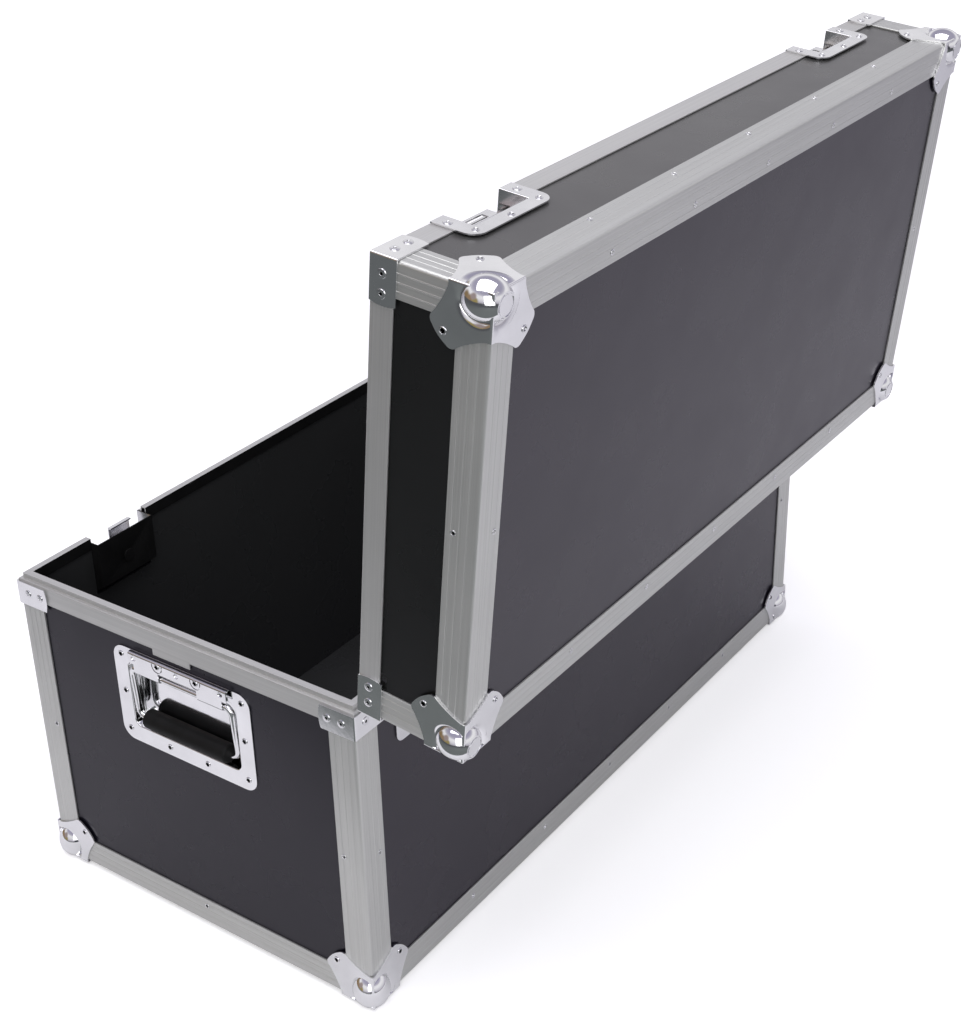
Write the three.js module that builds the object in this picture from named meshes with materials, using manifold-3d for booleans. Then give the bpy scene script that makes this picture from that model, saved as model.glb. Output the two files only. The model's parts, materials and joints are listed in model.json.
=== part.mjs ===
// Flight case with a hinged lid: plywood panels slotted into aluminium edges, steel ball
// corners, bail handles, butterfly latches and stop hinges, standing with the lid open.
// Millimetres, +Z up. The origin is the centre of the footprint, level with the underside of
// the bottom edge angles. The latches are on the -Y side, the hinges on +Y, the handles at +-X.

import * as THREE from 'three';
import { mergeVertices } from 'three/addons/utils/BufferGeometryUtils.js';
import Module from 'manifold-3d';

const wasm = await Module();
wasm.setup();

// The case as a whole
const caseLength = 830;
const caseDepth = 414;
const baseHeight = 330;
const lidHeight = 108;
const lidOpening = THREE.MathUtils.degToRad(95.8);

// Clearances: in slots and bearings, and under plates that lie on a face
const fit = 0.3;
const seat = 0.2;
const overrun = 5;

// Plywood panels and the angle extrusions over their edges
const panelThickness = 7;
const angleThickness = 1.6;
const angleFlange = 30;
const edgeRounding = 3;

// Tongue rim of the base and groove rim of the lid
const baseRimFlange = 19;
const lidRimFlange = 22;
const rimWall = 1.3;
const rimShoulder = 1.5;
const rimLip = 8;
const rimRounding = 1;
const tongueInset = 3.5;
const tongueHeight = 5;
const rimTabWidth = 46.5;
const rimTabDrop = 6.5;
const rimTabOffset = 7.75;

// Ball corners
const ballRadius = 19.5;
const ballInset = 12;
const ballProud = 4.4;
const ballSheet = 1.5;
const ballClearance = 1.3;
const moatRadius = 23.4;
const moatFloor = 0.5;
const cornerTrim = 4;
const cornerFold = 37.5;
const cornerFoldStraight = 3;
const cornerWaistReach = 41.5;
const cornerWaistHeight = 16;
const cornerLobeReach = 45.5;
const cornerLobeHeight = 32.5;
const cornerLobeRadius = 6.5;
const cornerLobeStart = THREE.MathUtils.degToRad(-50);

// Braces over the rim corners
const braceReach = 39.5;
const braceBow = 3;
const braceHeight = 26.5;
const braceSheet = 1.5;
const braceGap = 0.8;

// Bail handles, one on each end
const handleWidth = 170;
const handleHeight = 107.5;
const handleCorner = 14;
const handleSheet = 1.2;
const handleDrop = 28.5;
const dishWidth = 134;
const dishBottomRim = 18.5;
const dishHeight = 73.5;
const dishDepth = 12;
const dishCorner = 7;
const coverWidth = 110;
const coverTop = 105;
const coverSheet = 1.2;
const knuckleWidth = 31;
const knuckleCurl = THREE.MathUtils.degToRad(108);
const bailRadius = 3.5;
const bailSpan = 125;
const bailDrop = 56;
const bailPivotHeight = 86;
const bailBend = 8;
const gripRadius = 10;
const gripLength = 104;
const gripChamfer = 1.5;

// Butterfly latches: plate and recess, with depths measured inwards from the front face
const latchEndDistance = 124;
const latchWidth = 107;
const latchCorner = 13;
const latchSheet = 1.2;
const latchGap = 0.6;
const latchBaseDrop = 68;
const latchLidRise = 43;
const crankRise = 1;
const recessWidth = 73;
const recessBaseDrop = 59;
const recessBaseDepth = 18;
const recessBaseSlope = 10;
const recessLidRise = 27.5;
const recessLidDepth = 18;
const recessLidSlope = 17;

// Butterfly latches: cam, wings, hook and keeper
const camDrop = 28.5;
const camThrow = 2.25;
const camRadius = 9;
const camAxleRadius = 4;
const camHeadRadius = 6.5;
const camHeadThickness = 1.5;
const camCapRadius = 14;
const camCapThickness = 1.5;
const camCapDepth = 7.2;
const wingPivotOffset = 4;
const wingPivotDepth = 4.9;
const wingBarrelRadius = 2;
const wingBarrelWidth = 20.4;
const wingPinRadius = 1.4;
const wingSheet = 1.5;
const wingLobeRadius = 10.5;
const wingLobeSpread = 13.5;
const wingLobeRise = 9;
const wingWebHeight = 13;
const earThickness = 2;
const earRadius = 3;
const hookSheet = 1.5;
const hookDepth = 12.8;
const hookInward = 3.5;
const hookLipLength = 4.6;
const hookLipDrop = 0.4;
const hookFrame = 6;
const hookNeckWidth = 28;
const hookPlay = 0.7;
const keeperWidth = 56;
const keeperDepth = 14.7;
const keeperDrop = 3.5;
const keeperBar = 2.8;
const keeperWindowWidth = 34;
const keeperWindowHeight = 7;

// Stop hinges
const hingeEndDistance = 120;
const hingeWidth = 128;
const hingeLeafLength = 64.5;
const hingeLeafCorner = 8.5;
const hingeSheet = 1.5;
const hingePinOut = 6.5;
const hingePinRise = 2;
const hingePinRadius = 2.5;
const hingeKnuckleRadius = 4.3;
const hingeKnuckles = 5;
const hingeRootDrop = 5;
const hingeWebReach = 1.9;
const hingeWebRise = 2.6;
const stopLength = 11;
const stopWidth = 3.4;

// How finely round forms are divided, and how near points count as one
const rodSides = 8;
const roundSides = 16;
const ballSides = 16;
const hiddenBallSides = 12;
const curveSteps = 3;
const cornerSteps = 2;
const mergeTolerance = 1e-5;

// Places that follow from the sizes above
const halfLength = caseLength / 2;
const halfDepth = caseDepth / 2;
const lidTop = baseHeight + lidHeight;
const panelInset = angleThickness + fit;
const slotInner = panelInset + panelThickness + fit;
const rimDepth = slotInner + rimWall;
const grooveRoof = tongueHeight + fit + rimShoulder;
const panelFace = halfLength - panelInset;
const pivotY = halfDepth + hingePinOut;
const pivotZ = baseHeight + hingePinRise;
const handleBottom = baseHeight - handleDrop - handleHeight;
const latchX = halfLength - latchEndDistance;
const hingeX = halfLength - hingeEndDistance;
const hookTravel = 2 * camThrow;

const aluminium = new THREE.MeshStandardMaterial({ color: 0xb4b5b8, metalness: 0.9, roughness: 0.38 });
const zincSteel = new THREE.MeshStandardMaterial({ color: 0xc9cbd0, metalness: 1, roughness: 0.22 });
const laminatedPlywood = new THREE.MeshStandardMaterial({ color: 0x45414a, roughness: 0.5 });
const blackRubber = new THREE.MeshStandardMaterial({ color: 0x161616, roughness: 0.7 });

const { sin, cos, PI } = Math;

// Turns a closed geometry into a solid that can be joined and cut, facing outwards.
function solid(geometry) {
  geometry.deleteAttribute('normal');
  geometry.deleteAttribute('uv');
  const merged = mergeVertices(geometry, mergeTolerance);
  const points = merged.attributes.position.array;
  const triangles = Uint32Array.from(merged.index.array);
  const [a, b, c] = [new THREE.Vector3(), new THREE.Vector3(), new THREE.Vector3()];
  let volume = 0;
  for (let i = 0; i < triangles.length; i += 3) {
    a.fromArray(points, 3 * triangles[i]);
    b.fromArray(points, 3 * triangles[i + 1]);
    c.fromArray(points, 3 * triangles[i + 2]);
    volume += a.dot(b.cross(c));
  }
  if (volume < 0) triangles.reverse();
  return new wasm.Manifold(new wasm.Mesh({
    numProp: 3,
    vertProperties: Float32Array.from(points),
    triVerts: triangles,
  }));
}

// A box between two opposite corners.
function block(x0, x1, y0, y1, z0, z1) {
  const geometry = new THREE.BoxGeometry(x1 - x0, y1 - y0, z1 - z0);
  geometry.translate((x0 + x1) / 2, (y0 + y1) / 2, (z0 + z1) / 2);
  return solid(geometry);
}

function ball(radius, x, y, z, sides = ballSides) {
  const geometry = new THREE.SphereGeometry(radius, sides, sides / 2);
  geometry.rotateX(PI / 2);
  geometry.translate(x, y, z);
  return solid(geometry);
}

// An outline carried along an axis. Its two coordinates are y, z along x; x, z along y;
// and x, y along z.
function prism(outline, axis, from, to, steps = curveSteps) {
  const drawn = (points) => new THREE.Shape(points.map(([a, b]) => new THREE.Vector2(a, b)));
  const shape = outline instanceof THREE.Shape ? outline : drawn(outline);
  const geometry = new THREE.ExtrudeGeometry(shape, {
    depth: to - from,
    bevelEnabled: false,
    curveSegments: steps,
  });
  const [ex, ey, ez] = [[1, 0, 0], [0, 1, 0], [0, 0, 1]].map((e) => new THREE.Vector3(...e));
  const turned = new THREE.Matrix4();
  if (axis === 'x') geometry.applyMatrix4(turned.makeBasis(ey, ez, ex)).translate(from, 0, 0);
  if (axis === 'y') geometry.applyMatrix4(turned.makeBasis(ex, ez, ey.negate())).translate(0, to, 0);
  if (axis === 'z') geometry.translate(0, 0, from);
  return solid(geometry);
}

// A round bar along an axis, centred on the two other coordinates in their usual order.
function bar(radius, axis, from, to, a, b, sides = roundSides) {
  const geometry = new THREE.CylinderGeometry(radius, radius, to - from, sides);
  const middle = (from + to) / 2;
  if (axis === 'x') geometry.rotateZ(PI / 2).translate(middle, a, b);
  if (axis === 'y') geometry.translate(a, middle, b);
  if (axis === 'z') geometry.rotateX(PI / 2).translate(a, b, middle);
  return solid(geometry);
}

function joined(...bodies) {
  return bodies.reduce((sum, body) => sum.add(body));
}

// Points on an arc, both ends included.
function arc(x, y, radius, start, end, steps) {
  return Array.from({ length: steps + 1 }, (_, i) => {
    const angle = start + (end - start) * i / steps;
    return [x + radius * cos(angle), y + radius * sin(angle)];
  });
}

// A bent strip seen edge on: a line of points thickened to its left.
function strip(line, thickness) {
  const normals = line.slice(1).map(([x, y], i) => {
    const [dx, dy] = [x - line[i][0], y - line[i][1]];
    const length = Math.hypot(dx, dy);
    return [-dy / length, dx / length];
  });
  const far = line.map(([x, y], i) => {
    const [a, b] = [normals[Math.max(i - 1, 0)], normals[Math.min(i, normals.length - 1)]];
    const reach = thickness / (1 + a[0] * b[0] + a[1] * b[1]);
    return [x + (a[0] + b[0]) * reach, y + (a[1] + b[1]) * reach];
  });
  return [...line, ...far.reverse()];
}

// A rectangle with rounded corners, as a shape.
function roundedRectangle(x0, x1, y0, y1, radius) {
  const shape = new THREE.Shape();
  shape.absarc(x1 - radius, y1 - radius, radius, 0, PI / 2);
  shape.absarc(x0 + radius, y1 - radius, radius, PI / 2, PI);
  shape.absarc(x0 + radius, y0 + radius, radius, PI, 1.5 * PI);
  shape.absarc(x1 - radius, y0 + radius, radius, 1.5 * PI, 2 * PI);
  return shape;
}

// A frame with mitred corners: a profile of [inset from the outer face, height] points
// carried round the case's rectangle.
function mitredFrame(profile) {
  const corners = [[1, 1], [-1, 1], [-1, -1], [1, -1]];
  const points = corners.flatMap(([sx, sy]) => profile.flatMap(
    ([inset, height]) => [sx * (halfLength - inset), sy * (halfDepth - inset), height]));
  const count = profile.length;
  const faces = [];
  for (let corner = 0; corner < corners.length; corner += 1) {
    for (let i = 0; i < count; i += 1) {
      const a = corner * count + i;
      const b = corner * count + (i + 1) % count;
      const c = (corner + 1) % corners.length * count + (i + 1) % count;
      const d = (corner + 1) % corners.length * count + i;
      faces.push(a, b, c, a, c, d);
    }
  }
  const geometry = new THREE.BufferGeometry();
  geometry.setAttribute('position', new THREE.Float32BufferAttribute(points, 3));
  geometry.setIndex(faces);
  return solid(geometry);
}

// A round rod bent along a flat path in the y, z plane, with mitred rings at each point.
function bentRod(path, radius, sides) {
  const ahead = path.slice(1).map((point, i) => point.clone().sub(path[i]).normalize());
  const geometry = new THREE.BufferGeometry();
  const out = new THREE.Vector3(1, 0, 0);
  const points = [];
  const faces = [];
  path.forEach((point, ring) => {
    const before = ahead[Math.max(ring - 1, 0)];
    const after = ahead[Math.min(ring, ahead.length - 1)];
    const along = before.clone().add(after).normalize();
    const side = new THREE.Vector3().crossVectors(along, out).divideScalar(along.dot(before));
    for (let i = 0; i < sides; i += 1) {
      const angle = 2 * PI * i / sides;
      const spot = point.clone()
        .addScaledVector(out, radius * cos(angle))
        .addScaledVector(side, radius * sin(angle));
      points.push(spot.x, spot.y, spot.z);
      if (ring < path.length - 1) {
        const [a, b] = [ring * sides + i, ring * sides + (i + 1) % sides];
        faces.push(a, b, b + sides, a, b + sides, a + sides);
      }
    }
  });
  const last = (path.length - 1) * sides;
  for (let i = 1; i < sides - 1; i += 1) {
    faces.push(0, i + 1, i, last, last + i, last + i + 1);
  }
  geometry.setAttribute('position', new THREE.Float32BufferAttribute(points, 3));
  geometry.setIndex(faces);
  return solid(geometry);
}

// Adds a finished piece to a group as a named mesh.
function place(group, name, body, material, x = 0, y = 0, z = 0) {
  const { vertProperties, triVerts } = body.getMesh();
  const geometry = new THREE.BufferGeometry();
  geometry.setAttribute('position', new THREE.BufferAttribute(vertProperties, 3));
  geometry.setIndex(new THREE.BufferAttribute(triVerts, 1));
  const mesh = new THREE.Mesh(geometry, material);
  mesh.name = name;
  mesh.position.set(x, y, z);
  group.add(mesh);
  return mesh;
}

// The four upright edges, anticlockwise from the front left one.
const uprights = [
  { name: 'front_left', x: -1, y: -1 },
  { name: 'front_right', x: 1, y: -1 },
  { name: 'back_right', x: 1, y: 1 },
  { name: 'back_left', x: -1, y: 1 },
];

// Places one piece at each upright edge. The piece is drawn from the corner inwards along
// +X and +Y and is alike in both, so that it can also be turned over to hang below its height.
function placeAtUprights(group, prefix, body, material, height, turnedOver = false) {
  const over = new THREE.Quaternion().setFromAxisAngle(new THREE.Vector3(1, 1, 0).normalize(), PI);
  uprights.forEach(({ name, x, y }, i) => {
    const mesh = place(
      group, `${prefix}_${name}`, body, material, x * halfLength, y * halfDepth, height);
    mesh.quaternion.setFromAxisAngle(new THREE.Vector3(0, 0, 1), i * PI / 2);
    if (turnedOver) mesh.quaternion.multiply(over);
  });
}

// The spheres that the edge frames are notched by at their four corners.
function ballNotches(height) {
  const radius = ballRadius + ballClearance;
  return joined(...uprights.map(({ x, y }) => ball(
    radius, x * (halfLength - ballInset), y * (halfDepth - ballInset), height, hiddenBallSides)));
}

function edgeAngleProfile() {
  return [
    ...arc(edgeRounding, edgeRounding, edgeRounding, 1.5 * PI, PI, curveSteps),
    [0, angleFlange],
    [angleThickness, angleFlange],
    [angleThickness, angleThickness],
    [angleFlange, angleThickness],
    [angleFlange, 0],
  ];
}

// The four plywood walls of the base or the lid, cut by whatever sits in them.
function placeWalls(group, prefix, bottom, top, cuts) {
  const outerX = halfLength - panelInset;
  const outerY = halfDepth - panelInset;
  const innerY = outerY - panelThickness;
  const endY = innerY - fit;
  const walls = {
    front: block(-outerX, outerX, -outerY, -innerY, bottom, top),
    back: block(-outerX, outerX, innerY, outerY, bottom, top),
    left: block(-outerX, panelThickness - outerX, -endY, endY, bottom, top),
    right: block(outerX - panelThickness, outerX, -endY, endY, bottom, top),
  };
  for (const [side, wall] of Object.entries(walls)) {
    const body = cuts[side] ? wall.subtract(cuts[side]) : wall;
    place(group, `${prefix}_${side}_panel`, body, laminatedPlywood);
  }
}

// The ball corner, drawn at the corner of three faces that lie on the planes x, y and z = 0.
function ballCorner() {
  const outside = -(seat + ballSheet);
  const shape = new THREE.Shape();
  shape.moveTo(outside, outside);
  shape.lineTo(cornerFold, outside);
  shape.lineTo(cornerFold, cornerFoldStraight);
  shape.quadraticCurveTo(
    cornerWaistReach, cornerWaistHeight,
    cornerLobeReach + cornerLobeRadius * cos(cornerLobeStart),
    cornerLobeHeight + cornerLobeRadius * sin(cornerLobeStart));
  shape.absarc(cornerLobeReach, cornerLobeHeight, cornerLobeRadius, cornerLobeStart, PI / 4);
  shape.absarc(
    cornerLobeHeight, cornerLobeReach, cornerLobeRadius, PI / 4, PI / 2 - cornerLobeStart);
  shape.quadraticCurveTo(cornerWaistHeight, cornerWaistReach, cornerFoldStraight, cornerFold);
  shape.lineTo(outside, cornerFold);

  const plates = joined(
    prism(shape, 'z', outside, -seat, cornerSteps),
    prism(shape, 'y', outside, -seat, cornerSteps),
    prism(shape, 'x', outside, -seat, cornerSteps));
  const cube = (from, to) => block(from, to, from, to, from, to);
  const pastPlates = 2 * cornerFold;
  const floors = cube(-(seat + moatFloor), ballInset + moatRadius).subtract(cube(-seat, pastPlates));
  const facet = ballInset + ballProud;
  const inner = facet - ballSheet;
  const shell = ball(ballRadius, ballInset, ballInset, ballInset)
    .intersect(cube(ballInset - facet, ballInset + facet));
  const hollow = ball(ballRadius - ballSheet, ballInset, ballInset, ballInset, hiddenBallSides)
    .intersect(cube(ballInset - inner, ballInset + inner));
  return plates
    .subtract(ball(moatRadius, ballInset, ballInset, ballInset, hiddenBallSides))
    .add(floors)
    .subtract(cube(-overrun, cornerTrim))
    .add(shell)
    .subtract(hollow)
    .subtract(cube(angleThickness, pastPlates));
}

// The brace over a rim corner: two legs with bowed ends, standing on z = 0.
function rimBrace() {
  const outside = -(seat + braceSheet);
  const leg = new THREE.Shape();
  leg.moveTo(outside, 0);
  leg.lineTo(braceReach - braceBow, 0);
  leg.quadraticCurveTo(braceReach + braceBow, braceHeight / 2, braceReach - braceBow, braceHeight);
  leg.lineTo(outside, braceHeight);
  return joined(prism(leg, 'y', outside, -seat), prism(leg, 'x', outside, -seat));
}

// The fixed part of a bail handle: a plate with a pressed dish, and the cover whose knuckles
// hold the bail. x runs outwards from the panel face, z up from the plate's lower edge.
function handleDish() {
  const halfDish = dishWidth / 2;
  const face = seat + handleSheet;
  const back = face - dishDepth;
  const top = dishBottomRim + dishHeight;
  const plateOutline = roundedRectangle(
    -handleWidth / 2, handleWidth / 2, 0, handleHeight, handleCorner);
  const plate = prism(plateOutline, 'x', seat, face);
  const tub = prism(roundedRectangle(
    -halfDish - handleSheet, halfDish + handleSheet, dishBottomRim - handleSheet, top + handleSheet,
    dishCorner + handleSheet), 'x', back - handleSheet, face);
  const air = prism(
    roundedRectangle(-halfDish, halfDish, dishBottomRim, top, dishCorner), 'x', back, face + overrun);
  const curl = bailRadius + fit;
  const coverLine = [
    [face - handleSheet / 2, coverTop - coverSheet],
    [face + curl, coverTop - coverSheet],
    [face + curl, bailPivotHeight + curl],
  ];
  const knuckleLine = [
    coverLine[2], ...arc(face, bailPivotHeight, curl, 0, -knuckleCurl, 2 * curveSteps)];
  const halfCover = coverWidth / 2;
  const cover = prism(strip(coverLine, coverSheet), 'y', -halfCover, halfCover);
  const knuckle = prism(
    strip(knuckleLine, coverSheet), 'y', halfCover - knuckleWidth, halfCover);
  return joined(plate, tub)
    .subtract(air)
    .add(cover)
    .add(knuckle)
    .add(knuckle.translate(0, knuckleWidth - coverWidth, 0));
}

// The bail: one rod bent into a rectangle, whose ends butt under the cover.
// Its pivot is the origin and it hangs down.
function bail() {
  const half = bailSpan / 2;
  const turns = [[half, 0, 0.5], [half, -bailDrop, 0], [-half, -bailDrop, -0.5], [-half, 0, -1]];
  const path = [new THREE.Vector3(0, fit / 2, 0)];
  for (const [y, z, turn] of turns) {
    const centre = [y - Math.sign(y) * bailBend, z + (z < 0 ? bailBend : -bailBend)];
    for (const [py, pz] of arc(...centre, bailBend, turn * PI, (turn - 0.5) * PI, curveSteps)) {
      path.push(new THREE.Vector3(0, py, pz));
    }
  }
  path.push(new THREE.Vector3(0, -fit / 2, 0));
  return bentRod(path, bailRadius, rodSides);
}

// The rubber sleeve on the bail, along Y about the origin.
function grip() {
  const half = gripLength / 2;
  const bore = bailRadius + fit;
  const outline = [
    [bore, -half], [gripRadius - gripChamfer, -half], [gripRadius, gripChamfer - half],
    [gripRadius, half - gripChamfer], [gripRadius - gripChamfer, half], [bore, half], [bore, -half],
  ];
  return solid(new THREE.LatheGeometry(outline.map(([x, y]) => new THREE.Vector2(x, y)), roundSides));
}

// Latch pieces: x along the case from the latch's centre line, y inwards from the front
// face, z up from the parting line.

// One half of a latch plate with its recess. direction is -1 for the base half below the
// parting line and 1 for the lid half above it, where it is drawn upside down.
function latchHalf(direction, rise, flange, recessRise, depth, slope) {
  const front = -(seat + latchSheet);
  const step = panelInset - seat - latchSheet;
  const halfRecess = recessWidth / 2;
  const wall = halfRecess + latchSheet;
  const shaped = (outline) => outline.map(([y, z]) => [y, direction * z]);
  const crankTop = flange + fit;
  const slab = prism(shaped([
    [front, latchGap], [-seat, latchGap], [-seat, crankTop],
    [step + latchSheet, crankTop + crankRise], [step + latchSheet, rise], [step, rise],
    [step, crankTop + latchSheet + crankRise], [front, crankTop + latchSheet],
  ]), 'x', -latchWidth / 2, latchWidth / 2);
  const face = roundedRectangle(-latchWidth / 2, latchWidth / 2, -rise, rise, latchCorner);
  const plate = slab.intersect(prism(face, 'y', front - overrun, depth));
  const deep = recessRise - slope;
  const hollow = [[front - overrun, -overrun], [depth, -overrun], [depth, deep], [step, recessRise],
    [front - overrun, recessRise]];
  const along = Math.hypot(depth - step, slope);
  const [outY, outZ] = [latchSheet * slope / along, latchSheet * (depth - step) / along];
  const shellOutline = [
    [front + latchSheet / 2, latchGap], [depth + latchSheet, latchGap],
    [depth + latchSheet, deep + outZ - (latchSheet - outY) * slope / (depth - step)],
    [step + latchSheet / 2, recessRise + latchSheet], [front + latchSheet / 2, crankTop],
  ];
  return plate
    .add(prism(shaped(shellOutline), 'x', -wall, wall))
    .subtract(prism(shaped(hollow), 'x', -halfRecess, halfRecess));
}

// The dish in the base, with a bearing hole for the cam.
function latchDish() {
  return latchHalf(-1, latchBaseDrop, baseRimFlange, recessBaseDrop, recessBaseDepth, recessBaseSlope)
    .subtract(bar(camAxleRadius + fit, 'y', 0, recessBaseDepth + overrun, 0, -camDrop));
}

// The keeper in the lid: the same plate and recess, with a folded tab across its deep end. The
// hook's lip comes in through the tab's window and holds down the bar below it.
function latchKeeper() {
  const windowBottom = keeperBar - keeperDrop;
  const windowTop = windowBottom + keeperWindowHeight;
  const tabBack = keeperDepth + latchSheet;
  const root = recessLidDepth + latchSheet / 2;
  const tab = prism([
    [keeperDepth, -keeperDrop], [tabBack, -keeperDrop], [tabBack, windowTop], [root, windowTop],
    [root, windowTop + latchSheet], [keeperDepth, windowTop + latchSheet],
  ], 'x', -keeperWidth / 2, keeperWidth / 2).subtract(block(
    -keeperWindowWidth / 2, keeperWindowWidth / 2, 0, tabBack + fit, windowBottom, windowTop));
  return latchHalf(
    1, latchLidRise, lidRimFlange, recessLidRise, recessLidDepth, recessLidSlope).add(tab);
}

// The cam about its own axis, as it stands when the latch is undone: an axle through the
// dish, an eccentric that lifts the hook, and a cap with two ears for the wings.
function latchCam() {
  const eccentricTop = camCapDepth + camCapThickness;
  const axleEnd = recessBaseDepth + latchSheet + fit + camHeadThickness;
  const pivot = -wingPivotOffset;
  const earRoot = camCapDepth + camCapThickness / 2;
  const ear = bar(earRadius, 'x', 0, earThickness, wingPivotDepth, pivot)
    .add(block(0, earThickness, wingPivotDepth, earRoot, pivot - earRadius, pivot + earRadius))
    .subtract(bar(wingPinRadius + fit, 'x', -overrun, overrun, wingPivotDepth, pivot, rodSides));
  const earPlace = wingBarrelWidth / 2 + fit;
  return joined(
    bar(camAxleRadius, 'y', eccentricTop, axleEnd, 0, 0),
    bar(camHeadRadius, 'y', axleEnd - camHeadThickness, axleEnd, 0, 0),
    bar(camRadius, 'y', eccentricTop, recessBaseDepth - fit, 0, camThrow),
    bar(camCapRadius, 'y', camCapDepth, eccentricTop, 0, 0),
    ear.translate(earPlace, 0, 0),
    ear.translate(-earPlace - earThickness, 0, 0));
}

// The wings about their pivot, folded flat and pointing up: two lobes on a barrel with its pin.
function latchWings() {
  const plateBack = wingBarrelRadius;
  const lobe = (x) => bar(wingLobeRadius, 'y', plateBack - wingSheet, plateBack, x, wingLobeRise);
  const trimmed = joined(lobe(wingLobeSpread), lobe(-wingLobeSpread))
    .subtract(block(
      -wingLobeSpread - wingLobeRadius, wingLobeSpread + wingLobeRadius, -overrun, overrun,
      -wingLobeRadius, earRadius + fit));
  const halfBarrel = wingBarrelWidth / 2;
  const pinHalf = halfBarrel + fit + earThickness;
  return joined(
    trimmed,
    block(-halfBarrel, halfBarrel, plateBack - wingSheet, plateBack, 0, wingWebHeight),
    bar(wingBarrelRadius, 'x', -halfBarrel, halfBarrel, 0, 0, rodSides),
    bar(wingPinRadius, 'x', -pinHalf, pinHalf, 0, 0, rodSides));
}

// The hook in its fastened place: a frame round the cam's eccentric, a neck and a lip that
// holds down the keeper's bar.
function latchHook() {
  const centre = -camDrop - camThrow;
  const halfHigh = camRadius + fit + hookPlay;
  const halfWide = camRadius + camThrow + fit;
  const frameX = halfWide + hookFrame;
  const halfNeck = hookNeckWidth / 2;
  const [low, high] = [centre - halfHigh, centre + halfHigh];
  const back = hookDepth + hookSheet;
  const lipEnd = hookDepth + hookLipLength;
  const lipTop = hookSheet - hookLipDrop;
  return block(-frameX, frameX, hookDepth, back, low - hookFrame / 2, high + hookFrame)
    .subtract(block(-halfWide, halfWide, 0, back + overrun, low, high))
    .add(block(-halfNeck, halfNeck, hookDepth, back, high, lipTop))
    .add(block(-halfNeck, halfNeck, hookDepth, lipEnd, -hookLipDrop, lipTop));
}

// Stop hinge pieces: x along the hinge from its middle, y outwards from the back face,
// z away from the parting line, as the closed case has them.

// One leaf, cranked over the rim flange and bent out to the pin, whose place is given.
function hingeLeaf(flange, pinRise, startRise) {
  const crank = [
    [seat - panelInset, hingeLeafLength], [seat - panelInset, flange + fit + panelInset],
    [seat, flange + fit], [seat, startRise],
    [hingePinOut - hingeWebReach, pinRise + hingeWebRise],
  ];
  const leaf = prism(strip(crank, hingeSheet), 'x', -hingeWidth / 2, hingeWidth / 2);
  const corners = roundedRectangle(
    -hingeWidth / 2, hingeWidth / 2, -hingeLeafLength, hingeLeafLength, hingeLeafCorner);
  return leaf.intersect(prism(corners, 'y', -overrun, 2 * hingePinOut));
}

// The lengths of the knuckles that belong to one leaf: the even or the odd ones.
function knuckleSpans(odd) {
  const pitch = hingeWidth / hingeKnuckles;
  return Array.from({ length: hingeKnuckles }, (_, i) => i)
    .filter((i) => i % 2 === odd)
    .map((i) => [-hingeWidth / 2 + i * pitch, -hingeWidth / 2 + (i + 1) * pitch]);
}

// The leaf on the base, drawn below the parting line, with the pin fixed in its knuckles.
function hingeBaseLeaf() {
  const leaf = hingeLeaf(baseRimFlange, -hingePinRise, hingeRootDrop).mirror([0, 0, 1]);
  const [roomLow, roomHigh] = [-hingeRootDrop - hingeSheet, hingePinRise + hingeKnuckleRadius + fit];
  const rooms = knuckleSpans(1).map(([from, to]) => block(
    from - fit / 2, to + fit / 2, -overrun, 2 * hingePinOut, roomLow, roomHigh));
  const knuckles = knuckleSpans(0).map(([from, to]) => bar(
    hingeKnuckleRadius, 'x', from + fit / 2, to - fit / 2, hingePinOut, hingePinRise));
  return leaf
    .subtract(joined(...rooms))
    .add(joined(...knuckles))
    .add(bar(hingePinRadius, 'x', -hingeWidth / 2, hingeWidth / 2, hingePinOut, hingePinRise));
}

// The leaf on the lid, drawn above the parting line, with a stop under each knuckle that
// meets the base leaf when the lid is open.
function hingeLidLeaf() {
  const leaf = hingeLeaf(lidRimFlange, hingePinRise, 2 * hingeRootDrop);
  const rooms = knuckleSpans(0).map(([from, to]) => block(
    from - fit / 2, to + fit / 2, -overrun, 2 * hingePinOut, -overrun, 2 * hingeRootDrop + hingeSheet));
  const stopFace = seat + hingeSheet + fit - hingePinOut;
  const stopBack = stopFace + stopWidth;
  const stopOutline = [
    [stopFace, -stopLength], [stopBack, -stopLength], [stopBack, 0], [stopFace, 0],
  ].map(([y, z]) => [
    hingePinOut + y * cos(lidOpening) - z * sin(lidOpening),
    hingePinRise + y * sin(lidOpening) + z * cos(lidOpening),
  ]);
  const knuckles = knuckleSpans(1).flatMap(([from, to]) => [
    bar(hingeKnuckleRadius, 'x', from + fit / 2, to - fit / 2, hingePinOut, hingePinRise),
    prism(stopOutline, 'x', from + fit / 2, to - fit / 2),
  ]);
  return leaf
    .subtract(joined(...rooms))
    .add(joined(...knuckles))
    .subtract(bar(hingePinRadius + fit, 'x', -hingeWidth, hingeWidth, hingePinOut, hingePinRise));
}

const sides = [{ name: 'left', x: -1 }, { name: 'right', x: 1 }];

// What the latches and handles cut out of the panels and rims.
const latchRoom = recessWidth / 2 + latchSheet + fit;
const pastRim = -halfDepth + rimDepth + overrun;

function latchCuts(low, high) {
  const cut = block(-latchRoom, latchRoom, -halfDepth - overrun, pastRim, low, high);
  return joined(...sides.map(({ x }) => cut.translate(x * latchX, 0, 0)));
}

function handleCut(x) {
  const halfWide = dishWidth / 2 + handleSheet + fit;
  const low = handleBottom + dishBottomRim - handleSheet - fit;
  const high = handleBottom + dishBottomRim + dishHeight + handleSheet + fit;
  return block(x * panelFace - overrun - panelThickness, x * panelFace + overrun + panelThickness,
    -halfWide, halfWide, low, high);
}

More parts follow.
